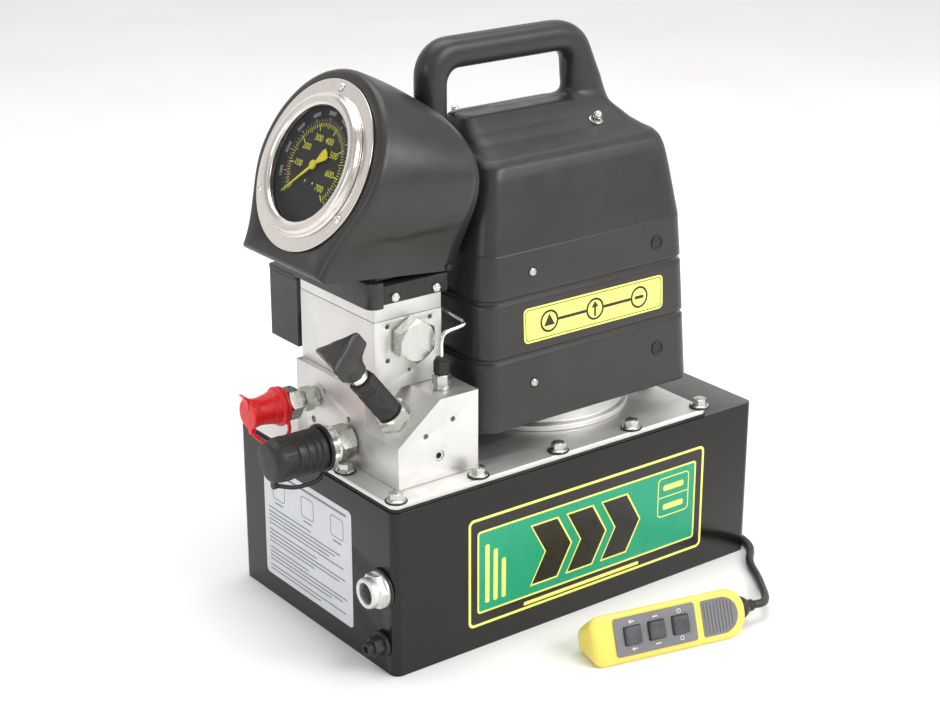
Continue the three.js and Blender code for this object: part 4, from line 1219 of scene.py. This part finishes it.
def handle():
    """The carrying handle, as sections between its inner and outer lines in the XZ plane."""
    steps = 8

    def arc(x, z, radius, first, last):
        angles = [math.radians(first + (last - first) * i / steps) for i in range(steps + 1)]
        return [Vector((x + radius * math.cos(a), z + radius * math.sin(a))) for a in angles]

    def bend(a, b, c):
        a, b, c = Vector(a), Vector(b), Vector(c)
        shares = [i / steps for i in range(steps + 1)]
        return [a.lerp(b, t).lerp(b.lerp(c, t), t) for t in shares]

    inner = [Vector(p) for p in ((-57, 298), (-56, 322), (-56, 380), (-56, 400))]
    outer = [Vector(p) for p in ((-75, 298), (-79.6, 322), (-80, 385), (-80, 408))]
    inner += arc(-45, 419.5, 11, 180, 90)
    outer += arc(-52, 427, 28, 180, 90)
    inner += [Vector((x, 430.5)) for x in (-25, 0, 25)]
    outer += [Vector((x, 455)) for x in (-28, 0, 25)]
    inner += arc(51, 419.5, 11, 90, 0)
    outer += bend((48, 455), (74, 455), (84, 435))
    inner += [Vector(p) for p in ((62, 408), (62, 398), (61, 388), (58, 374), (54, 356))]
    outer += [Vector(p) for p in ((93, 415.5), (101, 399), (106, 388), (112, 375), (114, 356))]
    half_thickness, squareness = 12.5, 0.86
    rings = []
    for a, b in zip(inner, outer):
        centre, half = (a + b) / 2, (b - a) / 2
        ring = []
        for angle in around(32):
            c, s = math.cos(angle), math.sin(angle)
            across = math.copysign(abs(c) ** squareness, c)
            deep = math.copysign(abs(s) ** squareness, s) * half_thickness
            ring.append(Vector((centre.x + half.x * across, deep, centre.y + half.y * across)))
        rings.append(ring)
    return loft(rings)


def relax(points, edges, weight, rounds):
    """Moves each point towards its neighbours' mean, by its own weight."""
    a, b = edges[:, 0], edges[:, 1]
    total = len(points)
    degree = np.bincount(a, minlength=total) + np.bincount(b, minlength=total)
    for _ in range(rounds):
        mean = np.empty_like(points)
        for axis in range(3):
            mean[:, axis] = np.bincount(a, points[b, axis], total)
            mean[:, axis] += np.bincount(b, points[a, axis], total)
        mean /= degree[:, None]
        points += (mean - points) * weight[:, None]


FUSED_VOXEL = 1.25
FILLET_REACH = 13.0
SETTLE_ROUNDS, FILLET_ROUNDS = 5, 90


def fused(name, first, second):
    """Two solids run together into one skin, with a soft fillet where they meet."""
    bodies = [new_object(name, shape) for shape in (first, second)]
    trees = []
    for body in bodies:
        coordinates = [v.co for v in body.data.vertices]
        polygons = [list(p.vertices) for p in body.data.polygons]
        trees.append(BVHTree.FromPolygons(coordinates, polygons))
    both = new_object(name, joined(first, second))
    remesh = both.modifiers.new("remesh", "REMESH")
    remesh.mode = "VOXEL"
    remesh.voxel_size = FUSED_VOXEL * MM
    mesh = baked(both)
    for used in (*bodies, both):
        bpy.data.objects.remove(used)
    points = np.array([v.co for v in mesh.vertices])
    edges = np.array([e.vertices[:] for e in mesh.edges])
    relax(points, edges, np.full(len(points), 0.5), SETTLE_ROUNDS)
    far = [max(tree.find_nearest(Vector(point))[3] for tree in trees) for point in points]
    near = np.clip(1 - np.array(far) / (FILLET_REACH * MM), 0, 1)
    relax(points, edges, 0.6 * near, FILLET_ROUNDS)
    mesh.vertices.foreach_set("co", points.ravel())
    mesh.update()
    return mesh


def trimmed(work, point, normal):
    """Cuts away what lies beyond a plane."""
    geometry = [*work.verts, *work.edges, *work.faces]
    bmesh.ops.bisect_plane(work, geom=geometry, plane_co=point, plane_no=normal, clear_outer=True)


def add_shroud():
    """Two half shells that meet in a parting line along the ridge and the handle."""
    top = fused("shroud_top", shroud_top(), handle())
    walls = new_object("shroud_walls", shroud_walls(), limit=60, outward=False)
    for end, side in (("front", -1), ("rear", 1)):
        work = bmesh.new()
        work.from_mesh(top)
        trimmed(work, (0, 0, SHROUD_CREASE * MM), (0, 0, -1))
        work.from_mesh(walls.data)
        trimmed(work, (0, side * PARTING * MM, 0), (0, -side, 0))
        name = "shroud_shell_" + end
        mesh = bpy.data.meshes.new(name)
        work.to_mesh(mesh)
        work.free()
        shade(mesh, 50, False)
        made = linked(name, mesh)
        walled(made)
        finish(made, MATERIALS["moulded_black"], UNIT, ("shroud_" + end,))
    bpy.data.objects.remove(walls)
    bpy.data.meshes.remove(top)


def shroud_face(x, z, proud=0.0):
    """A frame on the shroud's front wall, with Y up the wall and Z out of it."""
    slope = math.atan2(taper(z + 5) - taper(z - 5), 10)
    y = -(SHROUD_HALF_DEPTH - taper(z)) - proud
    return place((x, y, z), (1, 0, 0), (0, math.sin(slope), math.cos(slope)))


def acorn_nut():
    dome = [(0, 4), (3.6, 4), (3.4, 6), (2.4, 7.8), (1, 8.6), (0, 8.7)]
    return joined(disc(5.6, 0, 0.8, 0.2), hex_bar(7.4, 0.7, 4.4, 90, True), turned(dome, 0.8))


def add_shroud_fixings():
    """Socket screws and blanking plugs in the front wall, and nuts and a slot by the handle."""
    for number, (x, z) in enumerate(((-30, 285), (-31, 196.5)), 1):
        spot, washer = shroud_face(x, z), disc(4.3, -0.3, 0.35, 0.2)
        extra(f"shroud_screw_{number}", button_screw(3.2, 1.8), "zinc", spot)
        extra(f"shroud_screw_washer_{number}", washer, "black_rubber", spot)
    ring = [(4.2, -0.5), (6.2, -0.5), (6.2, 0.7), (5.6, 1), (4.8, 0.9), (4.2, 0.2), (4.2, -0.5)]
    plug = joined(turned(ring, 0.3), disc(4.3, -0.5, 0.15, 0.2))
    for number, (x, z) in enumerate(((96.6, 284), (96.6, 196)), 1):
        extra(f"shroud_plug_{number}", plug, "black_rubber", shroud_face(x, z))
    extra("ridge_slot", tile(-46, -8, 4.6, 7.4, 1, 393.4, 394.2), "black_rubber")
    for end, origin, rise in (("front", (66, -36, 380), 0.42), ("rear", (-24, 26, 385), -0.42)):
        spot = place(origin, (1, 0, 0), (0, 0.9, rise))
        extra("shroud_nut_" + end, acorn_nut(), "steel", spot)


add_shroud()
add_shroud_fixings()


# ---------------------------------------------------------------- labels
def grown(x0, x1, y0, y1, by):
    return x0 - by, x1 + by, y0 - by, y1 + by


def chevron(x, y, width, height, lean):
    """A broad arrowhead that points to +X."""
    half = height / 2
    return [
        (x, y - half), (x + width, y - half), (x + width + lean, y), (x + width, y + half),
        (x, y + half), (x + lean, y),
    ]


def add_front_decal():
    """A green panel in a yellow frame on the tank's front, with plain arrowheads and bars."""
    spot = on_front(0, TANK_LOW.y, 0)
    edge, panel, box = (-114, 129, 19, 111), (-104, 119, 31, 98), (79, 113, 58, 93)
    low, frame_top, line_top, arrow_top = 0.02, 0.16, 0.2, 0.24
    backing = tile(*grown(*edge, -1), 4, 0.01, 0.1)
    extra("decal_backing", backing, "tank_paint", spot, DECAL_BLACK)
    green = tile(*grown(*panel, 0.4), 2.2, low, 0.14)
    extra("decal_panel", green, "tank_paint", spot, DECAL_GREEN)
    yellow = [
        band(rounded(*edge, 5), rounded(*grown(*edge, -2.2), 3.4), low, frame_top),
        band(rounded(*grown(*panel, 1.6), 3), rounded(*panel, 2), low, frame_top),
    ]
    black = []
    for x in (-52, -16, 20):
        black.append(slab(chevron(x, 64, 25, 50, 14), low, arrow_top))
        yellow.append(slab(chevron(x - 1.9, 64, 28, 52.8, 14.6), low, line_top))
    for row, length in enumerate((50, 44, 34)):
        left = -98 + row * 8
        yellow.append(tile(left, left + 4, 37, 37 + length, 1.5, low, line_top))
    yellow.append(band(rounded(*box, 4), rounded(*grown(*box, -0.9), 3.2), low, line_top))
    for bar in (
        (79.5, 112.5, 75.1, 75.9, 0.3), (85, 107, 64, 69, 1.6), (85, 107, 81, 86, 1.6),
        (-60, 60, 22.6, 25.6, 1.4),
    ):
        yellow.append(tile(*bar, low, line_top))
    extra("decal_lines", joined(*yellow), "tank_paint", spot, DECAL_YELLOW)
    extra("decal_arrows", joined(*black), "tank_paint", spot, DECAL_BLACK)


def add_left_label():
    """A pale label on the tank's left end, with blank pictogram frames and plain rules."""
    spot = place((TANK_LOW.x, 0, 0), (0, -1, 0), (0, 0, 1))
    sheet = tile(-73, 53, 18, 117, 4, 0.02, 0.2)
    extra("label_sheet", sheet, "tank_paint", spot, LABEL_GREY)
    ink = (0.1, 0.26)
    marks = []
    for x in (-60, -18, 24):
        inner = rounded(x + 0.8, x + 17.2, 88.8, 105.2, 2.4)
        marks.append(band(rounded(x, x + 18, 88, 106, 3), inner, *ink))
        marks.append(tile(x + 3, x + 15, 84, 85.4, 0.5, *ink))
    marks.append(tile(-40, 46, 110.4, 112.6, 0.8, *ink))
    rules = [(78, 62), (74, 104), (70.6, 96), (67.2, 88), (63.8, 108), (58, 70), (54.4, 110)]
    rules += [(51, 102), (47.6, 66), (42, 58), (38.4, 112), (35, 106), (31.6, 90), (26, 110)]
    rules.append((22.6, 74))
    for low, length in rules:
        marks.append(tile(-67, -67 + length, low, low + 1.2, 0.4, *ink))
    extra("label_print", joined(*marks), "tank_paint", spot, PRINT_GREY)


def ring_mark(x, y, outer, inner, low, high):
    circle = [(math.cos(a), math.sin(a)) for a in around(40)]
    return band([(x + outer * c, y + outer * s) for c, s in circle],
                [(x + inner * c, y + inner * s) for c, s in circle], low, high)


def add_shroud_label():
    """A yellow nameplate on the shroud's front, with plain circuit symbols in place of a name."""
    spot = shroud_face(31, 243, 0.05)
    plate = (-71, 71, -14, 14)
    extra("nameplate", tile(*plate, 4, -0.1, 0.2), "moulded_black", spot, DECAL_YELLOW)
    ink = (0.1, 0.28)
    outer, inner = rounded(*grown(*plate, -1.5), 3.2), rounded(*grown(*plate, -2.1), 2.7)
    marks = [band(outer, inner, *ink)]
    marks += [ring_mark(x, 0, 9, 7.2, *ink) for x in (-46, 0, 46)]
    triangle = [(-51.4, -3.6), (-40.6, -3.6), (-46, 6)]
    arrow = [(-1, -6), (1, -6), (1, 1.4), (3.6, 1.4), (0, 6.4), (-3.6, 1.4), (-1, 1.4)]
    marks += [slab(outline, *ink) for outline in (triangle, arrow)]
    bars = [(41.4, 50.6, -1.3, 1.3, 0.8), (-37, -9, -1.2, 1.2, 0.6), (9, 37, -1.2, 1.2, 0.6)]
    marks += [tile(*bar, *ink) for bar in bars]
    extra("nameplate_marks", joined(*marks), "moulded_black", spot, DECAL_BLACK)


add_front_decal()
add_left_label()
add_shroud_label()


# ---------------------------------------------------------------- pendant
PENDANT_LENGTH, PENDANT_HEIGHT, PENDANT_DEPTH = 136, 42, 28
BUTTON_XS = (34, 55, 76)
BUTTON_Y = 21.5
KEY_HALF, WELL_HALF = 7, 7.4


def pendant_ring(depth, inset):
    """The housing's outline at a depth below its face: square at the left, round at the right."""
    side = depth * math.tan(PENDANT_TILT) + inset
    end = (PENDANT_HEIGHT / 2 - side) * 0.92
    corners = [
        (PENDANT_LENGTH - inset - end, side + end, end, -90),
        (PENDANT_LENGTH - inset - end, PENDANT_HEIGHT - side - end, end, 0),
        (inset + 8, PENDANT_HEIGHT - side - 8, 8, 90), (inset + 8, side + 8, 8, 180),
    ]
    ring = []
    for x, y, radius, first in corners:
        for step in range(13):
            angle = math.radians(first + 90 * step / 12)
            ring.append(Vector((x + radius * math.cos(angle), y + radius * math.sin(angle), -depth)))
    return ring


def add_pendant_housing():
    edge = 4.5
    rings = [pendant_ring(PENDANT_DEPTH, 3), pendant_ring(PENDANT_DEPTH - 1, 1.2)]
    rings += [pendant_ring(PENDANT_DEPTH - 3, 0.2), pendant_ring(PENDANT_DEPTH - 8, 0)]
    for a in (0, 15, 30, 45, 60, 75, 90):
        a = math.radians(a)
        rings.append(pendant_ring(edge * (1 - math.sin(a)), edge * (1 - math.cos(a))))
    made = stand_in("pendant_shell", loft(rings), "pendant_housing", PENDANT, limit=40)
    wells = []
    for x in BUTTON_XS:
        sides = x - WELL_HALF, x + WELL_HALF, BUTTON_Y - WELL_HALF, BUTTON_Y + WELL_HALF
        wells.append(shifted(tile(*sides, 2, -6, 2), PENDANT))
    carved(made, *wells)


def add_pendant_buttons():
    levels = [
        (-2, 0, 2.6), (3, 0, 2.6), (3.9, 0.35, 2.5), (4.4, 1.1, 2.2), (4.5, 2, 1.8), (4.3, 4.5, 1.2),
    ]
    for number, x in enumerate(BUTTON_XS, 1):
        rings = []
        for height, inset, radius in levels:
            outline = rounded(x - KEY_HALF + inset, x + KEY_HALF - inset,
                              BUTTON_Y - KEY_HALF + inset, BUTTON_Y + KEY_HALF - inset, radius)
            rings.append([(px, py, height) for px, py in outline])
        stand_in(f"pendant_key_{number}", loft(rings), f"pendant_button_{number}", PENDANT)


def add_pendant_marks():
    """Plain marks by the buttons: arrows, dashes and rings."""
    low, high = 1.25, 1.4
    marks = []
    for y in (BUTTON_Y - 10.6, BUTTON_Y + 10.6):
        arrow = [(31.4, y), (34, y - 1.7), (34, y - 0.5), (36.8, y - 0.5)]
        arrow += [(36.8, y + 0.5), (34, y + 0.5), (34, y + 1.7)]
        marks.append(slab(arrow, low, high))
        marks.append(tile(52.6, 57.4, y - 0.55, y + 0.55, 0.4, low, high))
        marks.append(ring_mark(76, y, 1.9, 1.2, low, high))
    extra("pendant_marks", joined(*marks), "grey_plastic", PENDANT, PRINT_WHITE)


def add_pendant_grip():
    """A ribbed grey pad with a round end."""
    x0, x1, y0, y1 = 96, 128, 6.6, 35.4
    radius, middle = (y1 - y0) / 2, (y0 + y1) / 2
    outline = [(x0 + 1, y0), (x1 - radius, y0)]
    for step in range(1, 24):
        angle = math.radians(-90 + 180 * step / 24)
        x, y = x1 - radius + radius * math.cos(angle), middle + radius * math.sin(angle)
        outline.append((x, y))
    outline += [(x1 - radius, y1), (x0 + 1, y1), (x0, y1 - 1), (x0, y0 + 1)]
    shapes = [slab(outline, -0.2, 0.5)]
    for i in range(9):
        x = x0 + 3 + i * 3
        over = max(0, x - (x1 - radius))
        half = math.sqrt(max(1, radius**2 - over**2)) - 1.8
        shapes.append(slab(rounded(x - 0.8, x + 0.8, middle - half, middle + half, 0.7, 4), 0.4, 1.1))
    made = extra("pendant_grip", joined(*shapes), "grey_plastic", PENDANT)
    bevelled(made, 0.2, 2)


def add_pendant_boot():
    spot = PENDANT @ place((PENDANT_LENGTH + 0.3, 21, -14), (0, 0, -1), (0, 1, 0))
    profile = [(0, 0), (9.6, 0), (9.4, 3), (7.2, 6.6), (5, 8.8), (4.6, 13.5), (3.4, 13.6), (0, 13.6)]
    return stand_in("pendant_boot_cone", turned(profile, 1.2), "pendant_boot", spot)


add_pendant_housing()
add_pendant_buttons()
add_pendant_marks()
add_pendant_grip()
boot = add_pendant_boot()
